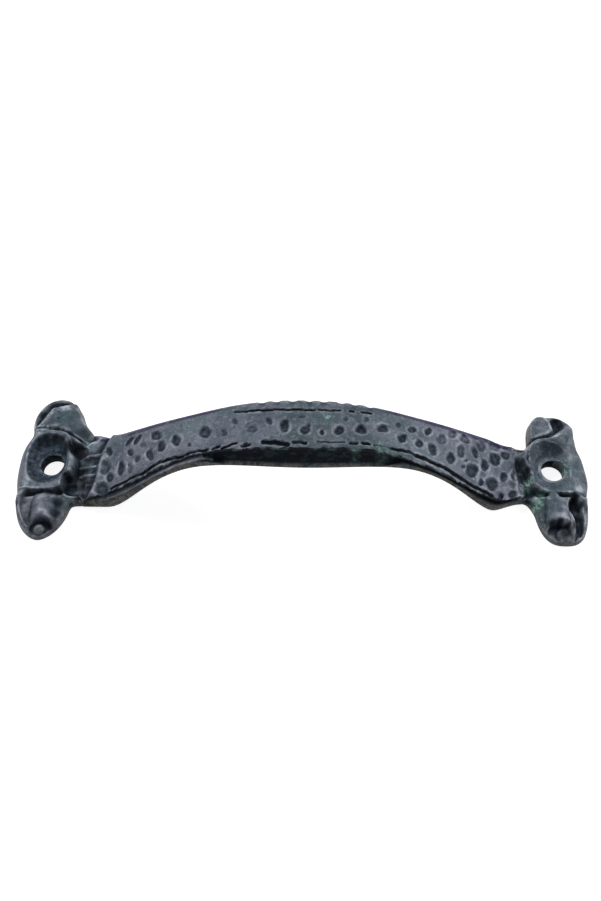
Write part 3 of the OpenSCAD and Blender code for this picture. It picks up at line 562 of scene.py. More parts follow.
def rolled(base, u, v, g, f):
    # the face turns down at the outline, in a wide round at the outer end
    end, over = ROLL_END[f]
    outer_end = rise(u, 1, 2.5) * rise(v, -5.8, 1.2) * (1 - rise(v, end, over))
    roll = mix(EDGE_ROLL, END_ROLL, outer_end)
    share = np.sqrt(unit(1 - (1 - unit(g / roll)) ** 2))
    return np.maximum(np.minimum(base, EDGE_HEIGHT + (base - EDGE_HEIGHT) * share), LEAST_HEIGHT)


def relief(u, v, g, f):
    # height of a foot's face, with the distance in from its outline
    plate = mix(PLATE_HEIGHT, RIM_HEIGHT, rise(v, -1, 7))
    soft = mix(PLATE_SOFT, FAR_SOFT[f], rise(v, 3, 2) * rise(u, 1, 1.5))
    base = mix(plate, ground(u, v, f), ease(outward(u, v, PLATE[f]) / soft))
    base = raised(np.maximum(base, lip(u, v, g, f)), u, v, f)
    return rolled(cupped(carved(base, u, v, f), plate, u, v, f), u, v, g, f)


def struck(x, y):
    # depth of the hammer marks, less the raised ring
    deep = np.zeros(np.shape(x))
    x, y = (x + WOBBLE * np.sin(np.radians(150 * y + 70 * x)),
            y + WOBBLE * np.sin(np.radians(170 * x - 50 * y)))
    for cx, cy, a, b, turn, share in MARKS:
        t = math.radians(turn)
        p = ((x - cx) * math.cos(t) + (y - cy) * math.sin(t)) / a / MARK_SIZE
        q = ((y - cy) * math.cos(t) - (x - cx) * math.sin(t)) / b / MARK_SIZE
        bowl = np.minimum(1, MARK_STEEP * (1 - p * p - q * q))
        deep = np.maximum(deep, MARK_DEPTH * share * bowl)
    cx, cy, a, b = RING_MARK
    ring = unit(1 - np.abs(np.hypot((x - cx) / a, (y - cy) / b) - 1) / RING_WIDTH)
    return deep - RING_HEIGHT * ring * unit((y - cy - RING_SLANT * (x - cx)) / RING_FADE)


def chiselled(x, y):
    # depth of the chisel strokes
    for size, turn, start in STROKE_WAVES:
        y = y + size * np.sin(np.radians(turn * x + start))
    deep = np.zeros(np.shape(x))
    for x0, y0, x1, y1, wide, share in STROKES:
        d, h = along(x, y, (x0, y0, wide, share), (x1, y1, wide, share))
        deep = np.maximum(deep, h * CHISEL_DEPTH * unit(1 - d))
    return deep


def scalloped(x, v):
    # depth of the notches in the far border
    deep = np.zeros(np.shape(x))
    for c in SCALLOPS:
        deep = np.maximum(deep, 1 - ((x - c) / SCALLOP_HALF) ** 2)
    return SCALLOP_DEPTH * grown(v, SCALLOP_FROM, SCALLOP_RUN) * deep


def panel_stop(x, v):
    # where the hammered panel ends: slanted and wavy on the left, nearly straight on the right
    size, turn, start = STOP_WAVE
    left, right = (HOLE_X - stop + slant * v for stop, slant in zip(PANEL_STOP, PANEL_SLANT))
    return np.where(x < 0, left + size * np.cos(np.radians(turn * v + start)), right)


def bar_top(x, v):
    # height of the bar's face, and of the feet's forms where it runs into them
    y = across(x, v)
    bevel = grown(np.abs(v), BEVEL_FROM, BEVEL_RUN) ** BEVEL_POWER
    z = front(x) - CROWN * v * v - np.where(v < 0, NEAR_BEVEL, FAR_BEVEL) * bevel
    g = (1 - np.abs(v)) * np.where(v < 0, near_half(x), half(x))
    foot = np.where(x < 0, relief(-x - HOLE_X, y, g, 0), relief(x - HOLE_X, y, g, 1))
    past = (np.abs(x) - panel_stop(x, v)) / PANEL_FADE
    z = mix(z, np.minimum(foot, z + FOOT_ABOVE), ease(past + 0.5))
    return z - (struck(x, y) + chiselled(x, y)) * fall(np.abs(x), NECK_X, 1.0) - scalloped(x, v)


def denser(values, n):
    out = []
    for a, b in zip(values, values[1:]):
        out += [a + (b - a) * k / n for k in range(n)]
    return np.array(out + [values[-1]])


def lip_from(x):
    # share down the wall where its lip starts
    return mix(LIP_FROM_MIDDLE, LIP_FROM_SLOPE, rise(np.abs(x), LIP_CLIMB_X, LIP_CLIMB))


def wall_levels(x):
    # shares down the wall: the step under the edge, the sunk band, the rise of the lip, the lip
    start = lip_from(x)
    rises = [start + mark for mark in LIP_MARKS]
    band = mix(RECESS_FROM, start, 0.5)
    lower = [mix(rises[-1], 1, share) for share in LIP_ROWS]
    return [RECESS_FROM / 2, RECESS_FROM, band, start] + rises + lower


def wall_half(x, t, s):
    # the wall is sunk under the face and comes out again in a lip at its foot
    edge = near_half(x) if s < 0 else half(x)
    lip_share = rise(t, lip_from(x), LIP_RUN)
    sunk = WALL_RECESS * ease(t / RECESS_FROM) * (1 - lip_share)
    base = widths(x, NECK_NEAR if s < 0 else NECK_FAR)
    shaped = mix(edge, base + WALL_LIP, lip_share) - sunk
    return mix(base + FOOT_FLARE * t, shaped, unit((NECK_X - np.abs(x)) / WALL_FADE))


def bar_loops():
    # closed loops round the bar: face, far wall down, back, near wall up
    x = np.linspace(-NECK_X, NECK_X, ROWS + 1)
    v = denser(LINES, LINE_SPLIT)
    xs, vs = np.meshgrid(x, v, indexing="ij")
    top = np.stack([xs, across(xs, vs), bar_top(xs, vs)], -1)
    low = arch(x)

    def side(s):
        edge = top[:, -1 if s > 0 else 0, 2]
        h = np.maximum(edge - low, THINNEST)
        rows = [np.stack([x, s * wall_half(x, t, s), np.maximum(edge - h * t, 0)], -1)
                for t in wall_levels(x)]
        return np.stack(rows, 1)

    b = v[1:-1]
    belly = BELLY * unit(low / 2)[:, None] * (1 - b * b) ** BELLY_POWER
    xb, vb = xs[:, 1:-1], vs[:, 1:-1]
    back = np.stack([xb, across(xb, vb), np.maximum(low[:, None] - belly, 0)], -1)
    return np.concatenate([top, side(1), back[:, ::-1], side(-1)[:, ::-1]], 1), v


def foot_rings(f, v, loop):
    # rings from the bore's mouth to the outline, whose first points lie along the bar's end
    nc = len(v)
    end = across(np.full(nc, -NECK_X if f == 0 else NECK_X), v)
    stops = ([math.atan2(end[-1], -NECK_IN)] + [math.radians(a) for a in CORNERS]
             + [math.atan2(end[0], -NECK_IN)])
    turns = [np.linspace(a, b, n + 1)[:-1] for a, b, n in zip(stops, stops[1:], STEPS)]
    free = np.concatenate(turns)[1:]
    th = np.concatenate([np.arctan2(end, -NECK_IN), free])
    # radii of the outline, of the cup's rim and of the plate
    b = np.concatenate([np.hypot(NECK_IN, end), reach(free, lambda u, w: inside(u, w, f))])
    c = np.clip(reach(th, lambda u, w: curve(u, w, CUP[f])), BORE_R + CUP_LEAST, b - CUP_ROOM)
    p = np.clip(reach(th, lambda u, w: curve(u, w, PLATE[f])), c + PLATE_LEAST, b - PLATE_ROOM)
    mouth = BORE_R + MOUTH_ROUND
    drop = np.minimum(p + DROP_WIDTH, b - DROP_ROOM)
    rings = [np.full_like(th, BORE_R), np.full_like(th, mouth)]
    for lo, hi, n in ((mouth, c, CUP_STEPS), (c, p, PLATE_STEPS), (p, drop, DROP_STEPS)):
        rings += [lo + (hi - lo) * k / n for k in range(1, n + 1)]
    lo = rings[-1]
    rings += [lo + (b - lo) * (1 - (1 - k / OUT_STEPS) ** OUT_POWER)
              for k in range(1, OUT_STEPS + 1)]
    r = np.stack(rings)
    # the hole is a little off the middle: the inner rings follow it
    aside = HOLE_SHIFT * ease((c - r) / (c - BORE_R - MOUTH_ROUND))
    u, w = r * np.cos(th), r * np.sin(th) + aside
    z = relief(u, w, edge_gap(u, w, f), f)
    z[0] -= MOUTH_DROP
    # same height as the bar's end row where they meet
    q = unit((r[:, :nc] - c[:nc]) / (b[:nc] - c[:nc])) ** 4
    z[:, :nc] = mix(z[:, :nc], loop[:nc, 2], q)
    return placed(f, u, w, z), th, b


def placed(f, u, v, z):
    # points of a foot in their places on the part
    return np.stack(np.broadcast_arrays((-1, 1)[f] * (HOLE_X + u), v, z), -1)


def between(a, b):
    # quads between two rows of vertex numbers, or between two lists of rows
    return np.stack([a[..., :-1], a[..., 1:], b[..., 1:], b[..., :-1]], -1).reshape(-1, 4)


def closed(rows):
    return np.concatenate([rows, rows[:, :1]], 1)


class Skin:
    def __init__(self):
        self.verts = np.zeros((0, 3))
        self.faces = np.zeros((0, 4), int)

    def add(self, points):
        # takes a grid of points and answers with their numbers
        numbers = len(self.verts) + np.arange(points[..., 0].size)
        self.verts = np.concatenate([self.verts, points.reshape(-1, 3)])
        return numbers.reshape(points.shape[:-1])

    def cover(self, quads):
        self.faces = np.concatenate([self.faces, quads])

    def finished(self):
        # only the vertices in use, with the middle of the feet on the middle line
        used = np.unique(self.faces)
        place = np.full(len(self.verts), -1)
        place[used] = np.arange(len(used))
        return self.verts[used] - (0, HOLE_SHIFT, 0), place[self.faces]


def add_foot(skin, f, v, loop, bar_end):
    # face, side wall, back and bore of a foot, joined to the loop at the bar's end
    nc = len(v)
    points, th, b = foot_rings(f, v, loop)
    face = skin.add(points)
    face[-1, :nc] = bar_end[:nc]
    wall = [face[-1]]
    for level in range(1, LEVELS + 1):
        t = level / LEVELS
        r = b + FOOT_FLARE * t
        row = skin.add(placed(f, r * np.cos(th), r * np.sin(th), points[-1, :, 2] * (1 - t)))
        row[nc - 1] = bar_end[nc + level - 1]
        row[0] = bar_end[-level]
        wall.append(row)
    wall = np.stack(wall)
    outer = wall[-1].copy()
    outer[:nc] = bar_end[nc + LEVELS - 1:][:nc][::-1]
    bore = [skin.add(placed(f, r * np.cos(th), r * np.sin(th) + HOLE_SHIFT, z))
            for r, z in ((BORE_R, BORE_CHAMFER), (BORE_R + BORE_CHAMFER, 0.0))]
    free = list(range(nc - 1, len(th))) + [0]
    turn = 1 if f == 1 else -1
    for rows in (closed(face), closed(np.stack([outer, bore[1], bore[0], face[0]])), wall[:, free]):
        skin.cover(between(rows[:-1], rows[1:])[:, ::turn])


def whole_skin():
    loops, v = bar_loops()
    skin = Skin()
    bar = skin.add(loops)
    rows = closed(bar)
    skin.cover(between(rows[:-1], rows[1:])[:, [0, 3, 2, 1]])
    add_foot(skin, 0, v, loops[0], bar[0])
    add_foot(skin, 1, v, loops[-1], bar[-1])
    return skin.finished()


# colours of the metal, as red, green and blue up to 255
COOL_SLATE = ((70, 84, 91), (96, 107, 115))
WARM_SLATE = ((76, 80, 94), (103, 106, 119))
DEEP_PATCH = (48, 62, 71)
PALE_FRECKLE = (134, 140, 150)
DARK_GRAIN = (38, 48, 58)
# painted shade along the far border
PURPLE_EDGE_SHADE = (34, 32, 62)
TEAL_WASH = (40, 78, 80)
# rubbed metal with a painted highlight on the crests
RUBBED_AND_SHEEN = (170, 175, 184)
# speckles of the lips, pale on the near wall's lip as painted light from the floor
LIP_SPECKLE = ((66, 72, 78), (134, 129, 118))
# soot and painted shade in the hollows
SOOT_AND_SHADE_TONE = (18, 32, 46)
# thick soot and painted shade, in lumps
SOOT_AND_SHADE_LUMPS = ((6, 10, 18), (44, 58, 64))
GREEN_FLAKES = ((62, 108, 106), (176, 206, 196))

# noises of the metal: scale, detail, roughness
NOISES = {
    "warmth": (85, 2, 0.5), "cloud": (170, 4, 0.6), "patch": (480, 4, 0.6),
    "fine": (1100, 5, 0.65), "grain": (2800, 3, 0.6),
    "rubbing_and_sheen": (760, 4, 0.6), "uneven": (300, 2, 0.5),
    "speckle": (900, 5, 0.75), "speckled": (1500, 4, 0.7), "far_edge": (260, 3, 0.6),
    "lumps": (620, 3, 0.5), "eaten": (640, 4, 0.6), "stroke": (900, 4, 0.7),
    "flakes": (1000, 6, 0.8),
}


class Tree:
    # small helpers for a material's nodes
    def __init__(self, name):
        self.material = bpy.data.materials.new(name)
        self.material.use_nodes = True
        self.nodes = self.material.node_tree.nodes
        self.links = self.material.node_tree.links
        self.shader = self.nodes["Principled BSDF"]

    def node(self, kind, inputs=None, **settings):
        made = self.nodes.new(kind)
        for name, value in settings.items():
            setattr(made, name, value)
        for name, value in (inputs or {}).items():
            self.put(made.inputs[name], value)
        return made

    def put(self, socket, value):
        if isinstance(value, bpy.types.NodeSocket):
            self.links.new(value, socket)
        else:
            socket.default_value = value

    def share(self, name):
        # what is stored at the vertices under a name
        return self.node("ShaderNodeAttribute", attribute_name=name).outputs["Fac"]

    def noise(self, name):
        scale, detail, rough = NOISES[name]
        inputs = {"Vector": self.place, "Scale": scale, "Detail": detail, "Roughness": rough}
        return self.node("ShaderNodeTexNoise", inputs).outputs["Fac"]

    def ramp(self, value, low, high):
        made = self.node("ShaderNodeMapRange", {"Value": value, "From Min": low, "From Max": high})
        made.interpolation_type = "SMOOTHSTEP"
        return made.outputs["Result"]

    def math(self, operation, a, b):
        made = self.nodes.new("ShaderNodeMath")
        made.operation = operation
        self.put(made.inputs[0], a)
        self.put(made.inputs[1], b)
        return made.outputs[0]

    def plus(self, a, b):
        return self.math("ADD", a, b)

    def less(self, a, b):
        return self.math("SUBTRACT", a, b)

    def times(self, a, b):
        return self.math("MULTIPLY", a, b)

    def most(self, a, b):
        return self.math("MAXIMUM", a, b)

    def blend(self, share, a, b):
        made = self.node("ShaderNodeMix", data_type="RGBA", blend_type="MIX")
        for name, value in (("Factor", share), ("A", a), ("B", b)):
            self.put(made.inputs[name], value)
        return made.outputs["Result"]

    def between(self, share, colours):
        return self.blend(share, colour(*colours[0]), colour(*colours[1]))


def colour(red, green, blue):
    def linear(c):
        c /= 255
        return c / 12.92 if c <= 0.04045 else ((c + 0.055) / 1.055) ** 2.4
    return (linear(red), linear(green), linear(blue), 1)


def slate(t, patch, fine, grain):
    # bare slate grey, clouded, patched and freckled
    cloud = t.ramp(t.noise("cloud"), 0.36, 0.64)
    warmth = t.ramp(t.noise("warmth"), 0.3, 0.68)
    base = t.blend(warmth, t.between(cloud, COOL_SLATE), t.between(cloud, WARM_SLATE))
    base = t.blend(t.times(t.ramp(patch, 0.52, 0.3), 0.6), base, colour(*DEEP_PATCH))
    base = t.blend(t.times(t.ramp(fine, 0.5, 0.68), 0.55), base, colour(*PALE_FRECKLE))
    return t.blend(t.times(t.ramp(grain, 0.48, 0.3), 0.65), base, colour(*DARK_GRAIN))


def rubbed_metal_and_sheen(t, base):
    # crests rubbed bright, with a painted highlight, unevenly along them
    speckle = t.ramp(t.noise("rubbing_and_sheen"), 0.3, 0.62)
    uneven = t.plus(0.3, t.times(t.ramp(t.noise("uneven"), 0.38, 0.58), 0.9))
    rubbed_and_sheen = t.times(t.times(t.share("ridge"), speckle), uneven)
    return t.blend(t.times(rubbed_and_sheen, 0.7), base, colour(*RUBBED_AND_SHEEN))


def speckled_lips(t, base):
    # brown and grey speckles on the lips and rims, which on the lip of the near wall also stand for
    # painted light thrown up from the floor
    speckles = t.between(t.ramp(t.noise("speckle"), 0.42, 0.56), LIP_SPECKLE)
    share = t.times(t.share("tan"), t.ramp(t.noise("speckled"), 0.4, 0.52))
    return t.blend(share, base, speckles)


def sooted_and_shaded(t, base, fine, hollow, shade):
    # thin soot and painted shade in the hollows, the cups darker too, with a little of the slate
    # showing through
    dark = t.most(hollow, t.times(t.share("cup"), 0.75))
    dark = t.times(dark, t.plus(0.6, t.times(t.ramp(fine, 0.62, 0.3), 0.4)))
    base = t.blend(dark, base, colour(*SOOT_AND_SHADE_TONE))
    # thick soot and painted shade in the deepest places, on the sunk near wall and in the bores, and
    # dark on the worn border and in the strokes
    lumps = t.between(t.ramp(t.noise("lumps"), 0.5, 0.68), SOOT_AND_SHADE_LUMPS)
    eaten = t.ramp(t.less(t.share("worn"), t.times(t.noise("eaten"), 1.2)), -0.12, 0.06)
    line = t.ramp(t.less(t.share("line"), t.times(t.noise("stroke"), 1.6)), -0.5, -0.14)
    return t.blend(t.most(shade, t.most(eaten, line)), base, lumps)


def patina():
    t = Tree("blackened_brass")
    t.place = t.node("ShaderNodeTexCoord").outputs["Object"]
    hollow, shade, green = t.share("hollow"), t.share("shade"), t.share("verdigris")
    patch = t.noise("patch")
    fine = t.noise("fine")
    grain = t.noise("grain")
    base = slate(t, patch, fine, grain)
    edge = t.times(t.share("edge"), t.ramp(t.noise("far_edge"), 0.3, 0.5))
    base = t.blend(edge, base, colour(*PURPLE_EDGE_SHADE))
    base = t.blend(t.times(t.share("teal"), 0.4), base, colour(*TEAL_WASH))
    base = speckled_lips(t, rubbed_metal_and_sheen(t, base))
    base = sooted_and_shaded(t, base, fine, hollow, shade)
    flakes = t.times(green, t.ramp(t.noise("flakes"), 0.4, 0.5))
    base = t.blend(flakes, base, t.between(t.ramp(fine, 0.4, 0.62), GREEN_FLAKES))
    t.put(t.shader.inputs["Base Color"], base)
    # dull where there is soot, painted shade or patina
    dull = t.most(t.most(hollow, shade), green)
    t.put(t.shader.inputs["Metallic"], t.times(t.less(1.0, dull), 0.4))
    rough = t.plus(0.46, t.times(t.ramp(fine, 0.3, 0.7), 0.14))
    t.put(t.shader.inputs["Roughness"], t.plus(rough, t.times(dull, 0.3)))
    t.shader.inputs["Specular IOR Level"].default_value = 0.1
    height = t.plus(t.plus(t.times(fine, 0.6), t.times(grain, 0.4)), t.times(patch, 0.5))
    bump = t.node("ShaderNodeBump", {"Height": height, "Strength": 0.5, "Distance": 0.0005})
    t.put(t.shader.inputs["Normal"], bump.outputs["Normal"])
    return t.material


# spots on the part: along, across, radius, strength
# soot and painted shade in the deep places
SOOT_AND_SHADE_SPOTS = (
    (-44.9, 4.0, 1.6, 0.9), (-43.2, 3.6, 1.4, 0.8), (-41.6, 2.6, 1.6, 0.8), (-42.6, -0.2, 1.9, 0.9),
    (-44.3, -4.0, 1.2, 0.95), (-41.3, -3.6, 1.7, 0.9), (-42.2, -6.1, 1.2, 0.9),
    (-40.6, -6.6, 1.2, 0.9),
    (-45.9, -5.4, 1.0, 0.8), (-47.6, -5.9, 0.7, 0.6), (-49.3, -5.9, 0.7, 0.6),
    (-51.6, -5.8, 0.8, 0.6),
    (-45.9, -7.7, 1.1, 0.85), (-46.1, -9.7, 1.0, 0.85), (-46.9, -12.0, 1.4, 0.6),
    (-52.2, -7.6, 0.6, 0.5),
    (-51.3, -11.0, 0.6, 0.5), (-50.3, -12.6, 0.7, 0.5), (-51.9, 12.4, 1.1, 0.7),
    (-50.2, 14.6, 1.2, 0.6),
    (-47.0, 15.2, 1.4, 0.5), (-46.0, 7.9, 1.0, 0.7), (-43.6, 8.2, 1.6, 0.6),
    (-48.5, 11.0, 0.2, 1.0),
    (-48.2, 6.0, 0.8, 0.75), (-50.0, 5.7, 0.8, 0.7), (-51.1, 5.0, 0.7, 0.6), (-46.6, 5.8, 0.8, 0.7),
    (43.0, 0.3, 0.9, 0.9), (42.1, 2.1, 0.6, 0.5), (43.3, -1.0, 0.8, 0.8), (40.8, -0.2, 0.9, 0.45),
    (44.2, -3.8, 0.9, 0.5), (51.2, -5.3, 0.9, 0.9), (52.0, -7.0, 0.9, 0.9), (51.2, -9.4, 1.0, 0.9),
    (50.5, -11.3, 0.9, 0.8), (46.2, -10.9, 0.9, 0.9), (47.6, -10.9, 0.9, 0.95),
    (48.5, -12.7, 1.5, 0.9),
    (50.4, 11.6, 1.4, 0.7), (51.9, 13.6, 0.8, 0.5), (48.4, 5.6, 1.2, 0.5), (49.8, 4.9, 1.0, 0.5),
    (46.8, 7.4, 0.8, 0.4), (47.2, 5.2, 1.6, 0.4), (49.0, 4.8, 1.6, 0.5), (39.8, -2.8, 0.8, 0.6),
    (37.1, -5.6, 0.8, 0.6), (-44.8, 4.6, 0.9, 1.0), (-44.9, -2.2, 0.9, 1.0),
    (-43.6, -3.8, 1.1, 1.0),
    (-41.7, -6.0, 1.0, 0.9), (-42.0, -2.0, 1.1, 0.8), (40.7, 1.2, 0.9, 0.6),
)
# where a hollow stays pale, with less of its dirt and painted shade
BARE = (
    (41.6, 1.6, 1.6, 0.8), (42.4, 3.0, 1.2, 0.95), (41.2, -2.4, 1.2, 0.5), (-51.5, 9.1, 1.0, 0.7),
    (-49.9, 9.1, 1.0, 0.7), (-48.3, 8.9, 1.0, 0.7), (-46.7, 8.6, 1.0, 0.7), (-45.3, 8.0, 1.0, 0.7),
    (-44.4, 7.5, 1.0, 0.7), (-43.1, 6.6, 1.0, 0.7),
)
# where nothing is rubbed bright or given a painted highlight, and a little painted shade darkens the
# outer flank of the right foot
CALM_AND_SHADE = (
    (52.6, 4.6, 2.2, 0.9), (53.2, 1.6, 2.2, 0.9), (53.4, -1.6, 2.0, 0.9), (52.0, 7.0, 1.8, 0.7),
)
# brown speckles, green flakes and a thin teal wash
TAN = (
    (-48.6, -12.9, 0.9, 0.8), (-52.0, -8.2, 0.7, 0.6), (-51.5, -9.9, 0.7, 0.6),
    (-47.8, -6.2, 0.8, 0.4),
    (-43.2, -3.2, 1.1, 0.4),
)
VERDIGRIS = (
    (43.1, -1.8, 0.9, 1.0), (42.3, -3.3, 0.9, 0.9), (45.0, -4.9, 0.9, 1.0), (44.3, -6.3, 1.1, 1.0),
    (43.7, -7.3, 0.9, 0.9), (50.2, 0.4, 0.8, 1.0), (50.5, 2.0, 0.9, 0.5), (14.0, -3.8, 1.4, 0.3),
    (4.3, 1.6, 1.2, 0.4), (9.3, -5.2, 0.9, 0.3),
)
TEAL = (
    (-47.2, 11.0, 3.0, 0.8), (-43.0, 7.0, 2.6, 0.8), (-42.5, 0.0, 3.4, 0.9), (-48.0, 3.0, 3.0, 0.8),
    (-44.5, -7.5, 2.6, 0.6), (48.5, -4.0, 2.8, 0.8), (51.5, 0.0, 2.0, 0.6), (44.0, -5.0, 2.6, 0.7),
    (12.0, -4.0, 3.0, 0.6), (-8.0, -3.0, 4.0, 0.4), (-20.0, 1.0, 3.0, 0.3),
)
# ring round the ball of the right near scroll, rubbed bright with a painted highlight: along,
# across, radius, half width
BALL = (48.5, -12.7, 1.3, 0.14)

# how far a spot fades out, in radii
SPOT_REACH = 1.3
# rounds of smoothing that show sharp hollows and wide ones, and the share that each round moves
CRISP_ROUNDS, WIDE_ROUNDS = 12, 50
OWN_SHARE, OTHERS_SHARE = 0.4, 0.6
# depths or heights of wide dirt and painted shade, of sharp dirt and painted shade, and of crests
# rubbed bright with a painted highlight: start, and run to the full
WIDE_DIRT_AND_SHADE, SHARP_DIRT_AND_SHADE, CREST = (0.03, 0.2), (0.012, 0.06), (0.02, 0.04)
# worn bands of the near and far border, as shares of the half width: start, and run to the full
NEAR_BAND, FAR_BAND = (0.74, 0.24), (0.76, 0.08)
# lowest shade on the near wall, as a share of its height: on the slopes, and in the middle
SHADE_FOOT, SHADE_FOOT_MIDDLE = (0.72, 0.52), 0.09
MIDDLE_END, MIDDLE_RUN = 20, 6
# how far out the ribs of the left valley reach
RIB_END = 45
# strengths of the darkening in the cups, left and right
CUP_DARKENING = (1.4, 0.3)


def blurred(values, edges, rounds):
    # each point takes the mean of its neighbours, again and again
    count = np.bincount(edges.ravel(), minlength=len(values))[:, None]
    for _ in range(rounds):
        total = np.zeros_like(values)
        np.add.at(total, edges[:, 0], values[edges[:, 1]])
        np.add.at(total, edges[:, 1], values[edges[:, 0]])
        values = values * OWN_SHARE + OTHERS_SHARE * total / np.maximum(count, 1)
    return values


def near_spot(points, spots):
    # share that falls off round each spot
    share = np.zeros(len(points))
    for x, y, radius, strength in spots:
        d = np.hypot(points[:, 0] - x, points[:, 1] - y) / radius
        share = np.maximum(share, strength * ease(SPOT_REACH - d))
    return share


def dirt_shade_and_sheen(points, sunk, crisp, on_bar, calm_shade):
    # dirt and painted shade in the hollows, wide and sharp ones, and rubbed metal with a painted
    # highlight on the sharp crests
    wide = grown(sunk, *WIDE_DIRT_AND_SHADE) * mix(0.85, 0.6, on_bar)
    hollow = (wide + grown(crisp, *SHARP_DIRT_AND_SHADE) * 0.5) * (1 - near_spot(points, BARE))
    ridge = grown(-crisp, *CREST) * mix(1, 0.55, on_bar) * (1 - calm_shade)
    x, y, radius, width = BALL
    ball = np.hypot(points[:, 0] - x, points[:, 1] - y)
    return hollow, np.maximum(ridge, 0.6 * unit(1.6 - np.abs(ball - radius) / width))


def near_wall(x, y, t, facing, on_bar, middle):
    # the near wall of the bar is painted nearly black where it is sunk, as shade and soot together,
    # and pale and speckled at its lip, as painted light thrown up from the floor
    wall = on_bar * (y < 0.9 - near_half(x)) * (t < 0.97) * (facing < -0.3)
    shade_foot = mix(np.where(x < 0, *SHADE_FOOT), SHADE_FOOT_MIDDLE, middle)
    pale = wall * unit((shade_foot + 0.04 - t) / 0.06)
    dark = wall * grown(t, shade_foot, 0.08)
    return pale, np.maximum(dark, 0.45 * wall * (1 - middle) * (1 - 0.4 * pale))


def borders(x, y, t, on_bar, middle, up):
    # the near edge of the front is eaten away in places; the far border is painted dark as shade,
    # darker in its notches
    share = y / np.where(y < 0, near_half(x), half(x))
    worn = on_bar * grown(-share, *NEAR_BAND) * mix(0.75, 1, middle) * (t > 0.84)
    edge = on_bar * grown(share, *FAR_BAND) * grown(np.abs(x), 12, 4) * up
    notches = unit(scalloped(x, share + 0.16) / SCALLOP_DEPTH * 1.6 - 0.4)
    return worn, np.maximum(edge, notches * up)


def feet(x, y, z, up):
    # bores painted black, as shade with oxide, darker cups and the speckled rims of the feet
    out = np.abs(x) - HOLE_X
    bore = (np.hypot(out, y - HOLE_SHIFT) < BORE_R + 0.02) * (z < MOUTH_HEIGHT - 0.02)
    k = np.where(x < 0, curve(out, y, CUP[0]), curve(out, y, CUP[1]))
    cup = fall(k, 1.02, 0.12) * up * np.where(x < 0, *CUP_DARKENING)
    gap = np.where(x < 0, edge_gap(out, y, 0), edge_gap(out, y, 1))
    return bore, cup, 0.4 * unit((0.9 - gap) / 0.6) * (np.abs(x) > NECK_X)


def weathered(points, normals, sunk, crisp):
    # shares of soot, painted shade, rubbed metal, painted highlight, painted lip light and patina at
    # each vertex, by the names that the material reads
    x, y, z = points.T
    up = rise(normals[:, 2], 0.2, 0.4)
    on_bar = fall(np.abs(x), NECK_X + 1, 3)
    middle = fall(np.abs(x), MIDDLE_END, MIDDLE_RUN)
    calm_shade = near_spot(points, CALM_AND_SHADE)
    hollow, ridge = dirt_shade_and_sheen(points, sunk, crisp, on_bar, calm_shade)
    # share of the wall's height, from the arch up to the crest
    t = (z - arch(x)) / np.maximum(front(x) - arch(x), THINNEST)
    pale, dark = near_wall(x, y, t, normals[:, 1], on_bar, middle)
    worn, edge = borders(x, y, t, on_bar, middle, up)
    bore, cup, rim = feet(x, y, z, up)
    # the ribs of the left valley stand out of the soot and painted shade
    ribs = 0.5 * ridge * ((x < 0) & (np.abs(x) < RIB_END))
    soot_and_shade = np.maximum(near_spot(points, SOOT_AND_SHADE_SPOTS) * (1 - ribs), dark)
    return {
        "hollow": unit(hollow * (1 - 0.9 * pale)),
        "ridge": ridge * up,
        "shade": unit(np.maximum(np.maximum(soot_and_shade, 0.3 * calm_shade), bore)),
        "tan": np.maximum(np.maximum(pale, rim), near_spot(points, TAN)),
        "line": unit(chiselled(x, y) / 0.3) * up * on_bar,
        "edge": edge,
        "teal": near_spot(points, TEAL),
        "worn": worn,
        # the cups are darker, and painted shade darkens the top of the bar's middle
        "cup": np.maximum(cup, 0.22 * middle * up),
        "verdigris": near_spot(points, VERDIGRIS),
    }


def read(items, name, width, kind):
    # one property of all the items, as rows
    values = np.zeros(len(items) * width, dtype=kind)
    items.foreach_get(name, values)
    return values.reshape(-1, width)


def pull():
    verts, faces = whole_skin()
    # nothing stands outside the box of the solid
    verts = np.clip(verts, *(np.array(corner) * MM for corner in cad_box))
    mesh = bpy.data.meshes.new("pull_skin")
    mesh.from_pydata((verts / MM).tolist(), [], faces.tolist())
    mesh.update()
    mesh.shade_smooth()
    edges = read(mesh.edges, "vertices", 2, np.int32)
    normals = read(mesh.vertex_normals, "vector", 3, float)
    even = blurred(verts, edges, CRISP_ROUNDS)
    wide = blurred(even, edges, WIDE_ROUNDS)
    sunk = np.einsum("ij,ij->i", wide - verts, normals)
    crisp = np.einsum("ij,ij->i", even - verts, normals)
    shares = weathered(verts + (0, HOLE_SHIFT, 0), normals, sunk, crisp)
    for name, values in shares.items():
        data = mesh.attributes.new(name, "FLOAT", "POINT").data
        data.foreach_set("value", values.astype(np.float32))
    obj = bpy.data.objects.new("pull_skin", mesh)
    bpy.context.scene.collection.objects.link(obj)
    mesh.materials.append(patina())
    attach(obj, "root")
    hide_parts("pull")


# camera: height in degrees, distance and aim in millimetres, roll in radians
VIEW_UP = 57
VIEW_AWAY = 175.0
VIEW_AIM = (0.0, 5.58, 0.0)
VIEW_ROLL = 0.01155
# photo: width and height, focal length and place of its optical middle, in pixels
PHOTO_WIDTH, PHOTO_HEIGHT = 601, 901
PHOTO_FOCAL = 885.0
PHOTO_MIDDLE = 303.3
SENSOR = 36
CLIP_START = 0.01

# lamps aimed at the middle of the part: name, place and size in metres, watts
LAMPS = (
    ("key", (-0.28, 0.32, 0.32), (0.35, 0.25), 1.85),
    ("side", (0.5, 0.2, 0.3), (0.35, 0.3), 2.3),
)
# the white surroundings, as light and as seen, and the floor
WORLD_LIGHT = 0.16
FLOOR_GLOW = 0.88
FLOOR_GREY = 0.5
FLOOR_HALF = 3.0
FLOOR_BELOW = 0.0002


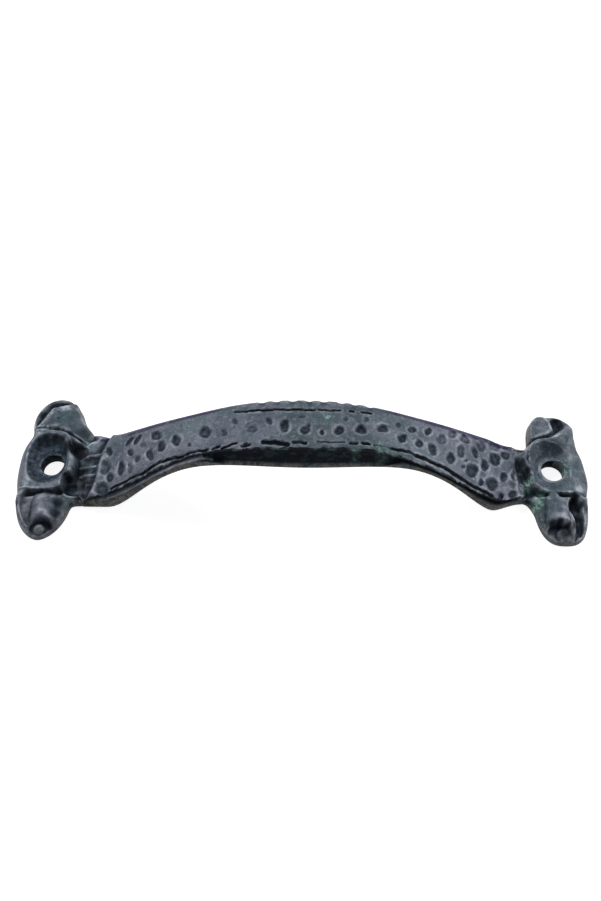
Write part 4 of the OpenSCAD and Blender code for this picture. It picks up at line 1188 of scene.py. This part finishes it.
def camera():
    data = bpy.data.cameras.new("camera")
    obj = bpy.data.objects.new("camera", data)
    bpy.context.scene.collection.objects.link(obj)
    up = math.radians(VIEW_UP)
    obj.location = (Vector(VIEW_AIM) + Vector((0, -math.cos(up), math.sin(up))) * VIEW_AWAY) / MM
    obj.rotation_euler = (math.radians(90) - up, 0, 0)
    obj.rotation_euler.rotate_axis("Z", VIEW_ROLL)
    data.sensor_fit = "VERTICAL"
    data.sensor_height = SENSOR
    data.lens = PHOTO_FOCAL / PHOTO_HEIGHT * SENSOR
    data.shift_x = -(PHOTO_MIDDLE - PHOTO_WIDTH / 2) / PHOTO_HEIGHT
    data.clip_start = CLIP_START
    bpy.context.scene.camera = obj


def lamp(name, place, size, power):
    data = bpy.data.lights.new(name, "AREA")
    data.shape = "RECTANGLE"
    data.size, data.size_y = size
    data.energy = power
    obj = bpy.data.objects.new(name, data)
    bpy.context.scene.collection.objects.link(obj)
    obj.location = place
    obj.rotation_euler = (-Vector(place)).to_track_quat("-Z", "Y").to_euler()


def white_ground():
    # pale to the light, with its own shadow, and lifted to white for the camera and in reflections
    t = Tree("pale_floor")
    t.shader.inputs["Base Color"].default_value = (FLOOR_GREY, FLOOR_GREY, FLOOR_GREY, 1)
    t.shader.inputs["Roughness"].default_value = 1
    path = t.node("ShaderNodeLightPath")
    seen = t.most(path.outputs["Is Camera Ray"], path.outputs["Is Glossy Ray"])
    t.put(t.shader.inputs["Emission Strength"], t.times(seen, FLOOR_GLOW))
    t.shader.inputs["Emission Color"].default_value = (1, 1, 1, 1)
    return t.material


def floor():
    s = FLOOR_HALF
    mesh = bpy.data.meshes.new("floor")
    mesh.from_pydata([(-s, -s, 0), (s, -s, 0), (s, s, 0), (-s, s, 0)], [], [(0, 1, 2, 3)])
    obj = bpy.data.objects.new("floor", mesh)
    bpy.context.scene.collection.objects.link(obj)
    obj.location = (0, 0, -FLOOR_BELOW)
    mesh.materials.append(white_ground())


def world():
    made = bpy.data.worlds.new("studio")
    bpy.context.scene.world = made
    made.use_nodes = True
    nodes, links = made.node_tree.nodes, made.node_tree.links
    back = nodes["Background"]
    back.inputs["Color"].default_value = (1, 1, 1, 1)
    # dim as a light, and white for the camera and in reflections
    path = nodes.new("ShaderNodeLightPath")
    seen = nodes.new("ShaderNodeMath")
    seen.operation = "MAXIMUM"
    links.new(path.outputs["Is Camera Ray"], seen.inputs[0])
    links.new(path.outputs["Is Glossy Ray"], seen.inputs[1])
    strength = nodes.new("ShaderNodeMapRange")
    links.new(seen.outputs[0], strength.inputs["Value"])
    strength.inputs["To Min"].default_value = WORLD_LIGHT
    links.new(strength.outputs["Result"], back.inputs["Strength"])


pull()
camera()
floor()
world()
for settings in LAMPS:
    lamp(*settings)
bpy.context.scene.view_settings.view_transform = "Standard"
